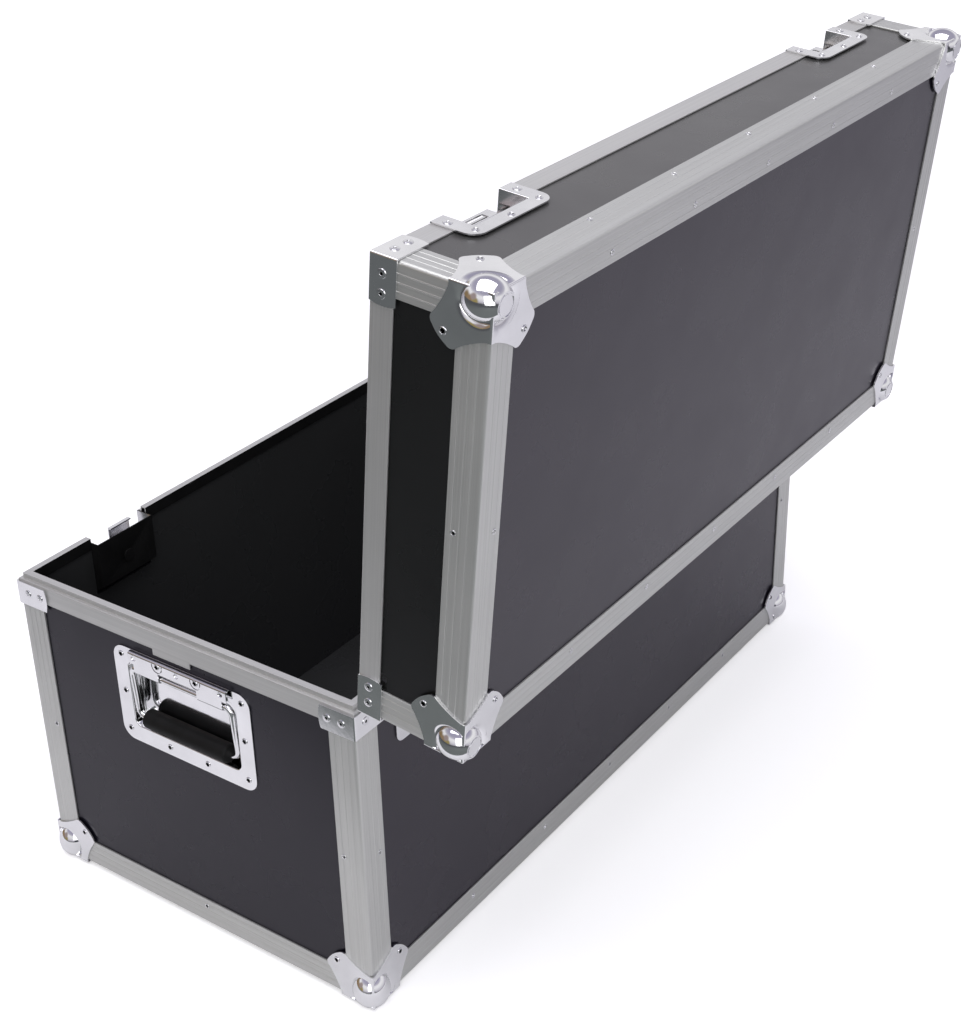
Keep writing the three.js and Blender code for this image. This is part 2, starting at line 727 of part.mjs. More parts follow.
// Adds a rim that the latches divide: the ring round the back and ends, and the front middle.
function placeRim(group, prefix, rim, low, high) {
  const [below, above] = [low - overrun, high + overrun];
  const divided = rim.subtract(latchCuts(below, above));
  const middle = block(-latchX, latchX, -halfDepth - overrun, pastRim, below, above);
  place(group, `${prefix}_rim`, divided.subtract(middle), aluminium);
  place(group, `${prefix}_rim_front`, divided.intersect(middle), aluminium);
}

function buildBase(group) {
  const floorTop = panelInset + panelThickness;
  const [panelX, panelY] = [halfLength - panelInset, halfDepth - panelInset];
  place(group, 'base_bottom_panel', block(
    -panelX, panelX, -panelY, panelY, panelInset, floorTop), laminatedPlywood);
  placeWalls(group, 'base', floorTop + fit, baseHeight - rimShoulder - fit, {
    front: latchCuts(baseHeight - recessBaseDrop - latchSheet - fit, baseHeight + overrun),
    left: handleCut(-1),
    right: handleCut(1),
  });

  const frame = mitredFrame(edgeAngleProfile()).subtract(ballNotches(ballInset));
  place(group, 'base_bottom_angle_frame', frame, aluminium);
  placeAtUprights(group, 'base_angle', prism(
    edgeAngleProfile(), 'z', angleFlange + fit, baseHeight - baseRimFlange - fit), aluminium, 0);

  const rim = mitredFrame([
    ...arc(rimRounding, -rimRounding, rimRounding, PI, 0.5 * PI, curveSteps),
    [tongueInset, 0], [tongueInset, tongueHeight], [rimDepth, tongueHeight], [rimDepth, -rimLip],
    [slotInner, -rimLip], [slotInner, tongueHeight - rimWall],
    [tongueInset + rimWall, tongueHeight - rimWall], [tongueInset + rimWall, -rimShoulder],
    [angleThickness, -rimShoulder], [angleThickness, -baseRimFlange], [0, -baseRimFlange],
  ]).translate(0, 0, baseHeight).add(block(
    halfLength - angleThickness, halfLength,
    -rimTabOffset - rimTabWidth / 2, -rimTabOffset + rimTabWidth / 2,
    baseHeight - baseRimFlange - rimTabDrop, baseHeight - baseRimFlange / 2));
  placeRim(group, 'base', rim, baseHeight - baseRimFlange, baseHeight + tongueHeight);

  placeAtUprights(group, 'base_ball_corner', ballCorner(), zincSteel, 0);
  placeAtUprights(group, 'base_brace', rimBrace(), zincSteel, baseHeight - braceGap, true);
}

function buildLid(group) {
  const roofBottom = lidTop - panelInset - panelThickness;
  const [panelX, panelY] = [halfLength - panelInset, halfDepth - panelInset];
  place(group, 'lid_top_panel', block(
    -panelX, panelX, -panelY, panelY, roofBottom, lidTop - panelInset), laminatedPlywood);
  placeWalls(group, 'lid', baseHeight + grooveRoof + fit, roofBottom - fit, {
    front: latchCuts(baseHeight - overrun, baseHeight + recessLidRise + latchSheet + fit),
  });

  const frame = mitredFrame(edgeAngleProfile()).mirror([0, 0, 1]).translate(0, 0, lidTop);
  place(group, 'lid_top_angle_frame', frame.subtract(ballNotches(lidTop - ballInset)), aluminium);
  const [angleLow, angleHigh] = [baseHeight + lidRimFlange + fit, lidTop - angleFlange - fit];
  placeAtUprights(
    group, 'lid_angle', prism(edgeAngleProfile(), 'z', angleLow, angleHigh), aluminium, 0);

  const rim = mitredFrame([
    ...arc(rimRounding, fit + rimRounding, rimRounding, PI, 1.5 * PI, curveSteps),
    [tongueInset - fit, fit], [tongueInset - fit, tongueHeight + fit], [rimDepth, tongueHeight + fit],
    [rimDepth, grooveRoof + rimLip], [slotInner, grooveRoof + rimLip], [slotInner, grooveRoof],
    [angleThickness, grooveRoof], [angleThickness, lidRimFlange], [0, lidRimFlange],
  ]).translate(0, 0, baseHeight);
  placeRim(group, 'lid', rim, baseHeight, baseHeight + lidRimFlange);

  placeAtUprights(group, 'lid_ball_corner', ballCorner(), zincSteel, lidTop, true);
  placeAtUprights(group, 'lid_brace', rimBrace(), zincSteel, baseHeight + braceGap);
}

function buildHandles(group) {
  sides.forEach(({ name, x }) => {
    const handle = new THREE.Group();
    handle.position.set(x * panelFace, 0, handleBottom);
    handle.rotation.z = x < 0 ? PI : 0;
    const rodX = seat + handleSheet;
    place(handle, `handle_${name}_dish`, handleDish(), zincSteel);
    place(handle, `handle_${name}_bail`, bail(), zincSteel, rodX, 0, bailPivotHeight);
    place(handle, `handle_${name}_grip`, grip(), blackRubber, rodX, 0, bailPivotHeight - bailDrop);
    group.add(handle);
  });
}

function buildLatches(baseGroup, lidGroup) {
  sides.forEach(({ name, x }) => {
    const [centre, front] = [x * latchX, -halfDepth];
    const axis = baseHeight - camDrop;
    place(baseGroup, `latch_${name}_dish`, latchDish(), zincSteel, centre, front, baseHeight);
    place(baseGroup, `latch_${name}_cam`, latchCam(), zincSteel, centre, front, axis);
    place(baseGroup, `latch_${name}_wings`, latchWings(), zincSteel,
      centre, front + wingPivotDepth, axis - wingPivotOffset);
    place(baseGroup, `latch_${name}_hook`, latchHook(), zincSteel,
      centre, front - hookInward, baseHeight + hookTravel);
    place(lidGroup, `latch_${name}_keeper`, latchKeeper(), zincSteel, centre, front, baseHeight);
  });
}

function buildHinges(baseGroup, lidGroup) {
  sides.forEach(({ name, x }) => {
    const leaves = [[baseGroup, 'base_leaf', hingeBaseLeaf()], [lidGroup, 'lid_leaf', hingeLidLeaf()]];
    for (const [group, leaf, body] of leaves) {
      place(group, `hinge_${name}_${leaf}`, body, zincSteel, x * hingeX, halfDepth, baseHeight);
    }
  });
}

const flightCase = new THREE.Group();
const hingedLid = new THREE.Group();
const closedLid = new THREE.Group();
hingedLid.position.set(0, pivotY, pivotZ);
hingedLid.rotation.x = -lidOpening;
closedLid.position.set(0, -pivotY, -pivotZ);
hingedLid.add(closedLid);
flightCase.add(hingedLid);

buildBase(flightCase);
buildLid(closedLid);
buildHandles(flightCase);
buildLatches(flightCase, closedLid);
buildHinges(flightCase, closedLid);

export default flightCase;
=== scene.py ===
# Flight case with its lid open: the looks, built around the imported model
import json
import math
from contextlib import contextmanager
import bpy
from mathutils import Matrix, Vector


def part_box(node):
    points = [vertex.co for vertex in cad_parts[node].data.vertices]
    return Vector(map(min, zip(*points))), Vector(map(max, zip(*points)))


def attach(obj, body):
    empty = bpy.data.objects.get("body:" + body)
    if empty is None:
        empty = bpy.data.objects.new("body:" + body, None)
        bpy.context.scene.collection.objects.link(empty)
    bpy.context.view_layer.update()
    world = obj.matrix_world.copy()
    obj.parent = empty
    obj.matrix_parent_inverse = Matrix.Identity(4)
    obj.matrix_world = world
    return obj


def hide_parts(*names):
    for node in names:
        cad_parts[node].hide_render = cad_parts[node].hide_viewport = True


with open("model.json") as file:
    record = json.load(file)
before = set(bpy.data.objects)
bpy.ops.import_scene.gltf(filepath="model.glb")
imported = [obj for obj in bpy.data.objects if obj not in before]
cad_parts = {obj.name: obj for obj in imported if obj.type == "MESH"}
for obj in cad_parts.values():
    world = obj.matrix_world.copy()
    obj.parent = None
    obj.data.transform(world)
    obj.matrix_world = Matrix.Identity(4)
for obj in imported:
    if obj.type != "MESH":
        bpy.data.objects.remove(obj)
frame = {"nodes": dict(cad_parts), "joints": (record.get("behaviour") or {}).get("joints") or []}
nodes = frame["nodes"]
joints = {joint["name"]: joint for joint in frame["joints"]}
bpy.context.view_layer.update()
mm = 0.001
print("frame loaded:", len(nodes), "nodes")

case = {
    "halfLength": 415 * mm,
    "halfDepth": 207 * mm,
    "baseHeight": 330 * mm,
    "lidTop": 438 * mm,
    "plateGap": 0.2 * mm,          # under every plate that lies on a face
    "smoothAngle": math.radians(32),
    "touching": 1e-6,              # points closer than this are at one place
    "hair": 0.1 * mm,              # lets two cuts overlap
}
halfLength, halfDepth = case["halfLength"], case["halfDepth"]
touching, hair = case["touching"], case["hair"]

# The lid is modelled closed and then turned open about its hinge
lidJoint = joints["lid_hinge"]
lidOpening = math.radians(lidJoint["range_deg"][1])
lidPivot = Vector(lidJoint["pos_m"])
toOpenLid = (Matrix.Translation(lidPivot) @ Matrix.Rotation(-lidOpening, 4, 'X')
             @ Matrix.Translation(-lidPivot))
inPlace = Matrix.Identity(4)

# Camera and light
view = {
    "place": (1.3453, 1.0208, 1.1935),
    "azimuth": math.radians(126.45),
    "elevation": math.radians(27.77),
    "roll": math.radians(-1.8376),
    "lens": 62.465,
    "sensor": 36,
    "shift": (0.0216, -0.0269),
    "farthest": 100,
}
studio = {
    "floorReach": 80,
    "floorHeight": -4.5 * mm,
    "floorColor": (0.86, 0.86, 0.86, 1),
    "floorRoughness": 0.9,
    "floorSpecular": 0.1,
    "floorGlow": (0.45, 0.8),      # near the case and far from it
    "floorFade": (1.3, 4),
    "tableEdge": {"direction": (1, 0.2, 0), "from": 0.69, "to": 0.74,
                  "color": (0.15, 0.165, 0.155, 1)},
    "backdrop": (1, 1, 1, 1),
    "skyStrength": 0.8,
    "sky": ((0.0, (0.42, 0.4, 0.44, 1)), (0.1, (0.72, 0.7, 0.78, 1)), (0.33, (1.05, 1.04, 1.07, 1)),
            (0.48, (1.08, 1.07, 1.1, 1)), (0.58, (0.62, 0.6, 0.7, 1)), (0.7, (0.46, 0.44, 0.57, 1)),
            (0.98, (0.5, 0.48, 0.6, 1))),      # by height
    "patches": (
        {"toward": (0.33, -0.93, 0.08), "outer": math.radians(20), "inner": math.radians(8),
         "color": (0.3, 0.21, 0.11, 1)},
        {"toward": (0.65, -0.76, 0.06), "outer": math.radians(20), "inner": math.radians(8),
         "color": (0.36, 0.25, 0.15, 1)},
        {"toward": (0.9, -0.42, 0.08), "outer": math.radians(17), "inner": math.radians(7),
         "color": (0.4, 0.32, 0.13, 1)},
        {"toward": (-0.25, -0.96, 0.1), "outer": math.radians(17), "inner": math.radians(6),
         "color": (0.34, 0.25, 0.14, 1)},
        {"toward": (0.77, -0.55, 0.33), "outer": math.radians(17), "inner": math.radians(7),
         "color": (0.42, 0.34, 0.33, 1)},
        {"toward": (0.69, 0.72, 0.02), "outer": math.radians(17), "inner": math.radians(11),
         "color": (0.03, 0.03, 0.05, 1)},
    ),
    "keyLamp": {"place": (0.5, 0.2, 2.6), "target": (0, 0.1, 0.3), "size": 2.2, "energy": 40},
    "fillLamp": {"place": (2.2, 1.6, 1.3), "target": (0, 0, 0.3), "size": 1.8, "energy": 16},
}


def makeCamera():
    data = bpy.data.cameras.new("photoCamera")
    camera = bpy.data.objects.new("photoCamera", data)
    bpy.context.scene.collection.objects.link(camera)
    azimuth, elevation = view["azimuth"], view["elevation"]
    back = Vector((math.sin(azimuth) * math.cos(elevation),
                   -math.cos(azimuth) * math.cos(elevation), math.sin(elevation)))
    right = (-back).cross(Vector((0, 0, 1))).normalized()
    up = right.cross(-back)
    turn = Matrix((right, up, back)).transposed().to_4x4() @ Matrix.Rotation(view["roll"], 4, 'Z')
    camera.matrix_world = Matrix.Translation(view["place"]) @ turn
    data.sensor_width = view["sensor"]
    data.lens = view["lens"]
    data.shift_x, data.shift_y = view["shift"]
    data.clip_end = view["farthest"]
    bpy.context.scene.camera = camera


def softLamp(name, place, target, size, energy):
    data = bpy.data.lights.new(name, 'AREA')
    data.shape = 'SQUARE'
    data.size = size
    data.energy = energy
    lamp = bpy.data.objects.new(name, data)
    bpy.context.scene.collection.objects.link(lamp)
    direction = Vector(target) - Vector(place)
    lamp.matrix_world = Matrix.Translation(place) @ direction.to_track_quat('-Z', 'Y').to_matrix().to_4x4()


# Shader nodes: an output is linked to a socket, any other value is set on it
def feed(tree, socket, value):
    if hasattr(value, "is_output"):
        tree.links.new(value, socket)
    else:
        socket.default_value = value


def newNode(tree, kind, *values, **settings):
    node = tree.nodes.new('ShaderNode' + kind)
    for label, setting in settings.items():
        setattr(node, label, setting)
    for socket, value in zip(node.inputs, values):
        feed(tree, socket, value)
    return node


def mathNode(tree, operation, *values):
    return newNode(tree, 'Math', *values, operation=operation).outputs[0]


def vectorNode(tree, operation, *values):
    outputs = newNode(tree, 'VectorMath', *values, operation=operation).outputs
    return outputs["Value" if operation in ('DOT_PRODUCT', 'LENGTH') else "Vector"]


def rangeNode(tree, value, start, end, low=0, high=1, smooth=True):
    node = newNode(tree, 'MapRange', interpolation_type='SMOOTHSTEP' if smooth else 'LINEAR')
    labels = ("Value", "From Min", "From Max", "To Min", "To Max")
    for label, setting in zip(labels, (value, start, end, low, high)):
        feed(tree, node.inputs[label], setting)
    return node.outputs[0]


def mixNode(tree, factor, first, second, kind='RGBA', blend='MIX'):
    node = newNode(tree, 'Mix', factor, data_type=kind, blend_type=blend)
    place, result = {'RGBA': (6, 2), 'FLOAT': (2, 0)}[kind]      # where Blender keeps each kind's sockets
    feed(tree, node.inputs[place], first)
    feed(tree, node.inputs[place + 1], second)
    return node.outputs[result]


def makeSky():
    world = bpy.data.worlds.new("studioSky")
    world.use_nodes = True
    bpy.context.scene.world = world
    tree = world.node_tree
    coords = newNode(tree, 'TexCoord').outputs["Generated"]
    height = newNode(tree, 'SeparateXYZ', coords).outputs["Z"]
    ramp = newNode(tree, 'ValToRGB', height)
    stops = ramp.color_ramp.elements
    stops[1].position = studio["sky"][-1][0]
    for position, color in studio["sky"][1:-1]:
        stops.new(position)
    for stop, (position, color) in zip(stops, studio["sky"]):
        stop.color = color
    color = ramp.outputs[0]
    for patch in studio["patches"]:      # parts of the room that the polished pieces mirror
        near = vectorNode(tree, 'DOT_PRODUCT', coords, Vector(patch["toward"]).normalized())
        spread = rangeNode(tree, near, math.cos(patch["outer"]), math.cos(patch["inner"]))
        color = mixNode(tree, spread, color, patch["color"])
    background = tree.nodes["Background"]
    feed(tree, background.inputs["Color"], color)
    feed(tree, background.inputs["Strength"], studio["skyStrength"])

    # The camera sees plain white behind the table
    rays = newNode(tree, 'LightPath').outputs
    seen = mathNode(tree, 'MAXIMUM', rays["Is Camera Ray"], rays["Is Transmission Ray"])
    backdrop = newNode(tree, 'Background', studio["backdrop"])
    choice = newNode(tree, 'MixShader', seen, background.outputs[0], backdrop.outputs[0])
    feed(tree, tree.nodes["World Output"].inputs[0], choice.outputs[0])


def makeFloor():
    bpy.ops.mesh.primitive_plane_add(size=2 * studio["floorReach"], location=(0, 0, studio["floorHeight"]))
    floor = bpy.context.object
    floor.name = "studioFloor"
    paint = bpy.data.materials.new("studioFloor")
    paint.use_nodes = True
    tree = paint.node_tree
    shader = tree.nodes["Principled BSDF"]
    feed(tree, shader.inputs["Roughness"], studio["floorRoughness"])
    feed(tree, shader.inputs["Specular IOR Level"], studio["floorSpecular"])
    coords = newNode(tree, 'TexCoord').outputs["Object"]
    rays = newNode(tree, 'LightPath').outputs

    # The table is white; mirrors also show the dark room past its edge
    edge = studio["tableEdge"]
    along = vectorNode(tree, 'DOT_PRODUCT', coords, edge["direction"])
    past = rangeNode(tree, along, edge["from"], edge["to"])
    mirrored = mathNode(tree, 'MULTIPLY', past, rays["Is Glossy Ray"])
    feed(tree, shader.inputs["Base Color"], mixNode(tree, mirrored, studio["floorColor"], edge["color"]))

    # To the camera it glows, the more so far from the case
    away = vectorNode(tree, 'LENGTH', coords)
    fade = rangeNode(tree, away, *studio["floorFade"], *studio["floorGlow"])
    glow = newNode(tree, 'Emission')
    feed(tree, glow.inputs["Strength"], mathNode(tree, 'MULTIPLY', rays["Is Camera Ray"], fade))
    total = newNode(tree, 'AddShader', shader.outputs[0], glow.outputs[0])
    feed(tree, tree.nodes["Material Output"].inputs[0], total.outputs[0])
    floor.data.materials.append(paint)


def makeStudio():
    bpy.context.scene.view_settings.view_transform = 'Standard'
    makeSky()
    for name in ("keyLamp", "fillLamp"):
        softLamp(name, **studio[name])
    makeFloor()


makeCamera()
makeStudio()
print("camera and studio ready")


# Shader groups shared by the materials
effects = {
    "patches": {"from": (0.32, 0.68), "detail": 3, "roughness": 0.55},
    "lines": {"from": (0.3, 0.7), "to": (0.9, 1.06), "detail": 4, "roughness": 0.7},
    "pimples": {"from": (0.1, 0.6)},
}


def newGroup(name, inputs, outputs):
    group = bpy.data.node_groups.new(name, 'ShaderNodeTree')
    for label, kind, value in inputs:
        socket = group.interface.new_socket(label, in_out='INPUT', socket_type='NodeSocket' + kind)
        if value is not None:
            socket.default_value = value
    for label, kind in outputs:
        group.interface.new_socket(label, in_out='OUTPUT', socket_type='NodeSocket' + kind)
    return group, group.nodes.new('NodeGroupInput').outputs, group.nodes.new('NodeGroupOutput').inputs


def noiseNode(tree, vector, scale, effect):
    noise = newNode(tree, 'TexNoise')
    for label, value in (("Vector", vector), ("Scale", scale), ("Detail", effect["detail"]),
                         ("Roughness", effect["roughness"])):
        feed(tree, noise.inputs[label], value)
    return noise.outputs["Fac"]


def patchyValueGroup():      # a value that drifts between Low and High over the surface
    effect = effects["patches"]
    group, given, result = newGroup(
        "patchyValue", [("Vector", 'Vector', None), ("Scale", 'Float', 12), ("Low", 'Float', 0.3),
                        ("High", 'Float', 0.5)], [("Value", 'Float')])
    noise = noiseNode(group, given["Vector"], given["Scale"], effect)
    feed(group, result["Value"], rangeNode(group, noise, *effect["from"], given["Low"], given["High"],
                                           smooth=False))
    return group


def shadedColorGroup():      # a colour made darker or lighter by a mask
    group, given, result = newGroup(
        "shadedColor", [("Color", 'Color', (0.5, 0.5, 0.5, 1)), ("Mask", 'Float', 1)], [("Color", 'Color')])
    feed(group, result["Color"], mixNode(group, 1, given["Color"], given["Mask"], blend='MULTIPLY'))
    return group


def drawnLinesGroup():       # fine lines along the first axis, as extruding and brushing leave
    effect = effects["lines"]
    group, given, result = newGroup(
        "drawnLines", [("Vector", 'Vector', None), ("Turn", 'Vector', (0, 0, 0)), ("Length", 'Float', 4),
                       ("Fineness", 'Float', 900)], [("Height", 'Float'), ("Shade", 'Float')])
    turned = newNode(group, 'Mapping')
    feed(group, turned.inputs["Vector"], given["Vector"])
    feed(group, turned.inputs["Rotation"], given["Turn"])
    stretch = newNode(group, 'CombineXYZ', given["Length"], given["Fineness"], given["Fineness"])
    stretched = vectorNode(group, 'MULTIPLY', turned.outputs[0], stretch.outputs[0])
    noise = noiseNode(group, stretched, 1, effect)
    feed(group, result["Height"], noise)
    feed(group, result["Shade"], rangeNode(group, noise, *effect["from"], *effect["to"], smooth=False))
    return group


def pimpledSkinGroup():      # the fine pimples of a printed laminate
    group, given, result = newGroup("pimpledSkin", [("Vector", 'Vector', None), ("Scale", 'Float', 700)],
                                    [("Height", 'Float')])
    cells = newNode(group, 'TexVoronoi')
    feed(group, cells.inputs["Vector"], given["Vector"])
    feed(group, cells.inputs["Scale"], given["Scale"])
    start, end = effects["pimples"]["from"]
    feed(group, result["Height"], rangeNode(group, cells.outputs["Distance"], start, end, 1, 0))
    return group


groups = {
    "patchyValue": patchyValueGroup(),
    "shadedColor": shadedColorGroup(),
    "drawnLines": drawnLinesGroup(),
    "pimpledSkin": pimpledSkinGroup(),
}


class Paint:                 # a material under way, with the calls that every finish needs
    def __init__(self, name, look):
        self.material = bpy.data.materials.new(name)
        self.material.use_nodes = True
        self.look = look
        self.tree = self.material.node_tree
        self.shader = self.tree.nodes["Principled BSDF"]
        self.shader.inputs["Metallic"].default_value = look.get("metallic", 0)
        self.shader.inputs["Specular IOR Level"].default_value = look.get("specular", 0.5)
        self.coords = newNode(self.tree, 'TexCoord').outputs["Object"]

    def add(self, groupName, **values):
        node = newNode(self.tree, 'Group', node_tree=groups[groupName])
        if "Vector" in node.inputs:
            feed(self.tree, node.inputs["Vector"], self.coords)
        for label, value in values.items():
            feed(self.tree, node.inputs[label], value)
        return node

    def patchy(self, scale, low, high):
        return self.add("patchyValue", Scale=scale, Low=low, High=high).outputs[0]

    def finish(self, color, shade, height):
        tinted = self.add("shadedColor", Color=color, Mask=shade)
        bump = newNode(self.tree, 'Bump')
        for socket, value in ((self.shader.inputs["Base Color"], tinted.outputs[0]),
                              (self.shader.inputs["Roughness"], self.patchy(*self.look["rough"])),
                              (bump.inputs["Strength"], self.look["bump"][0]),
                              (bump.inputs["Distance"], self.look["bump"][1]),
                              (bump.inputs["Height"], height),
                              (self.shader.inputs["Normal"], bump.outputs[0])):
            feed(self.tree, socket, value)
        return self.material


# The finishes; each patchy value has its scale, lowest and highest, each bump its strength and depth
looks = {
    "aluminium": {"color": (0.57, 0.575, 0.555, 1), "metallic": 0.78, "rough": (9, 0.36, 0.48),
                  "lines": {"Length": 3, "Fineness": 700}, "bump": (0.12, 0.15 * mm)},
    "rim": {"color": (0.6, 0.6, 0.585, 1), "metallic": 0.78, "rough": (9, 0.34, 0.46),
            "lines": {"Length": 3, "Fineness": 700}, "bump": (0.12, 0.15 * mm), "endFrom": 397.5 * mm},
    "chrome": {"color": (0.86, 0.86, 0.87, 1), "metallic": 1, "tone": (30, 0.93, 1.03),
               "rough": (45, 0.06, 0.12), "waves": (120, 0, 1), "bump": (0.05, 0.2 * mm)},
    "zinc": {"color": (0.8, 0.8, 0.815, 1), "metallic": 1, "tone": (30, 0.93, 1.03),
             "rough": (45, 0.14, 0.22), "waves": (120, 0, 1), "bump": (0.05, 0.2 * mm)},
    "rubber": {"color": (0.006, 0.006, 0.006, 1), "specular": 0.18, "tone": (60, 0.8, 1.2),
               "rough": (90, 0.5, 0.62), "waves": (1800, 0, 1), "bump": (0.15, 0.1 * mm)},
    # the laminate's inside colour: partly the inner faces' own dark colour, partly painted shade
    "laminate": {"tone": (6, 0.94, 1.05), "rough": (14, 0.25, 0.32), "pimples": 750,
                 "bump": (0.12, 0.1 * mm), "tint": (0.94, 0.88, 1, 1), "inside": (0.029, 0.03, 0.03, 1),
                 "skin": 7 * mm},
}


def aluminiumPaint(name, turn):
    look = looks["aluminium"]
    paint = Paint(name, look)
    lines = paint.add("drawnLines", Turn=turn, **look["lines"])
    return paint.finish(look["color"], lines.outputs["Shade"], lines.outputs["Height"])


def rimPaint(name, endTurn):         # lines along each side of a frame round the case
    look = looks["rim"]
    paint = Paint(name, look)
    tree = paint.tree
    sideways = mathNode(tree, 'ABSOLUTE', newNode(tree, 'SeparateXYZ', paint.coords).outputs["X"])
    atEnd = mathNode(tree, 'GREATER_THAN', sideways, look["endFrom"])
    along, across = (paint.add("drawnLines", Turn=turn, **look["lines"]) for turn in ((0, 0, 0), endTurn))
    height, shade = (mixNode(tree, atEnd, along.outputs[label], across.outputs[label], kind='FLOAT')
                     for label in ("Height", "Shade"))
    return paint.finish(look["color"], shade, height)


def evenPaint(name, kind):           # chrome, zinc and rubber, the same from every side
    look = looks[kind]
    paint = Paint(name, look)
    return paint.finish(look["color"], paint.patchy(*look["tone"]), paint.patchy(*look["waves"]))


def laminatePaint(name, outer, specular, turn, pivot, low, high):
    look = {**looks["laminate"], "specular": specular}
    paint = Paint(name, look)
    paint.shader.inputs["Specular Tint"].default_value = look["tint"]
    tree = paint.tree
    turned = newNode(tree, 'Mapping')                # back to where the closed lid has it
    feed(tree, turned.inputs["Rotation"], turn)
    feed(tree, turned.inputs["Vector"], vectorNode(tree, 'SUBTRACT', paint.coords, pivot))
    place = newNode(tree, 'SeparateXYZ', vectorNode(tree, 'ADD', turned.outputs[0], pivot)).outputs
    inside = 1
    for axis, centre, reach in (("X", 0, halfLength - look["skin"]), ("Y", 0, halfDepth - look["skin"]),
                                ("Z", (low + high) / 2, (high - low) / 2)):
        within = mathNode(tree, 'COMPARE', place[axis], centre, reach)
        inside = mathNode(tree, 'MULTIPLY', inside, within)
    # faces inside the case take a dark colour: partly their own, partly painted shade
    color = mixNode(tree, inside, outer, look["inside"])
    skin = paint.add("pimpledSkin", Scale=look["pimples"])
    return paint.finish(color, paint.patchy(*look["tone"]), skin.outputs[0])


quarter = math.pi / 2
paints = {
    "aluminiumX": aluminiumPaint("aluminiumX", (0, 0, 0)),
    "aluminiumY": aluminiumPaint("aluminiumY", (0, 0, quarter)),
    "aluminiumZ": aluminiumPaint("aluminiumZ", (0, quarter, 0)),
    "aluminiumLidY": aluminiumPaint("aluminiumLidY", (lidOpening, 0, quarter)),
    "aluminiumLidZ": aluminiumPaint("aluminiumLidZ", (lidOpening, quarter, 0)),
    "rimBase": rimPaint("rimBase", (0, 0, quarter)),
    "rimLid": rimPaint("rimLid", (lidOpening, 0, quarter)),
    "chrome": evenPaint("chrome", "chrome"),
    "zinc": evenPaint("zinc", "zinc"),
    "rubber": evenPaint("rubber", "rubber"),
    # black for painted shade on faces that lie in shade
    "paintedShade": evenPaint("paintedShade", "rubber"),
}
baseSetting = ((0, 0, 0), (0, 0, 0), 6 * mm, 400 * mm)       # turn, pivot, lowest and highest inside
lidSetting = ((lidOpening, 0, 0), lidPivot, 300 * mm, 432 * mm)
# one laminate: the end panels' darker copies are painted shade, the lid front's lighter copy is painted light
for name, color, specular, setting in (
        ("laminateBase", (0.0105, 0.0085, 0.0145, 1), 0.5, baseSetting),
        ("laminateBaseEnd", (0.004, 0.0038, 0.0075, 1), 0.38, baseSetting),
        ("laminateLid", (0.0105, 0.0085, 0.0145, 1), 0.5, lidSetting),
        ("laminateLidEnd", (0.0069, 0.0075, 0.0067, 1), 0.38, lidSetting),
        ("laminateLidFront", (0.055, 0.055, 0.053, 1), 0.5, lidSetting)):
    paints[name] = laminatePaint(name, color, specular, *setting)
print("materials ready")


# Modelling calls
def chooseOnly(piece):
    bpy.ops.object.select_all(action='DESELECT')
    piece.select_set(True)
    bpy.context.view_layer.objects.active = piece


@contextmanager
def editing(piece):                        # what stands under it runs in edit mode
    chooseOnly(piece)
    bpy.ops.object.mode_set(mode='EDIT')
    yield
    bpy.ops.object.mode_set(mode='OBJECT')


def primitive(add, **settings):            # the start of a piece, at its size and place
    bpy.ops.object.select_all(action='DESELECT')
    add(**settings)
    bpy.ops.object.transform_apply(location=True, rotation=True, scale=True)
    return bpy.context.object


def turnFacesOutwards(piece):
    with editing(piece):
        bpy.ops.mesh.select_all(action='SELECT')
        bpy.ops.mesh.normals_make_consistent(inside=False)


def applyModifier(piece, kind, **settings):
    chooseOnly(piece)
    step = piece.modifiers.new(kind.lower(), kind)
    for label, value in settings.items():
        setattr(step, label, value)
    bpy.ops.object.modifier_apply(modifier=step.name)


def cutOut(name, outline, low, high):      # an outline in the XY plane given a thickness
    piece = primitive(bpy.ops.mesh.primitive_circle_add, vertices=len(outline), fill_type='NGON')
    piece.name = piece.data.name = name
    for vertex, (x, y) in zip(piece.data.vertices, outline):
        vertex.co = (x, y, low)
    with editing(piece):
        bpy.ops.mesh.select_all(action='SELECT')
        bpy.ops.mesh.extrude_region_move(TRANSFORM_OT_translate={"value": (0, 0, high - low)})
    turnFacesOutwards(piece)
    return piece


def combine(piece, other, operation):
    applyModifier(piece, 'BOOLEAN', operation=operation, object=other, solver='EXACT')
    bpy.data.objects.remove(other)
    return piece


def soften(piece, width, segments=2, angle=case["smoothAngle"]):
    applyModifier(piece, 'BEVEL', width=width, segments=segments, limit_method='ANGLE', angle_limit=angle)
    chooseOnly(piece)
    bpy.ops.object.shade_smooth_by_angle(angle=angle)
    applyModifier(piece, 'WEIGHTED_NORMAL', weight=100, keep_sharp=True)
    return piece


def bevelEdges(piece, chosen, width, segments):      # rounds the edges whose two ends pass a test
    with editing(piece):
        bpy.ops.mesh.select_mode(type='EDGE')
        bpy.ops.mesh.select_all(action='DESELECT')
    points = [vertex.co.copy() for vertex in piece.data.vertices]
    for edge in piece.data.edges:
        edge.select = chosen(*(points[i] for i in edge.vertices))
    with editing(piece):
        bpy.ops.mesh.bevel(offset=width, segments=segments, affect='EDGES')


def copyOf(piece, name, matrix):
    twin = piece.copy()
    twin.data = piece.data.copy()
    twin.name = twin.data.name = name
    twin.data.transform(matrix)
    bpy.context.scene.collection.objects.link(twin)
    return twin


def drop(*pieces):
    for piece in pieces:
        bpy.data.objects.remove(piece)


def merge(pieces, name):
    bpy.ops.object.select_all(action='DESELECT')
    for piece in pieces:
        piece.select_set(True)
    bpy.context.view_layer.objects.active = pieces[0]
    bpy.ops.object.join()
    pieces[0].name = pieces[0].data.name = name
    return pieces[0]


def hand(piece, body, slot, paint, *replaced):       # a finished piece goes onto its body
    piece.data.materials.clear()
    piece.data.materials.append(paints[paint])
    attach(piece, body)
    if replaced:
        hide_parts(*replaced)
    return piece


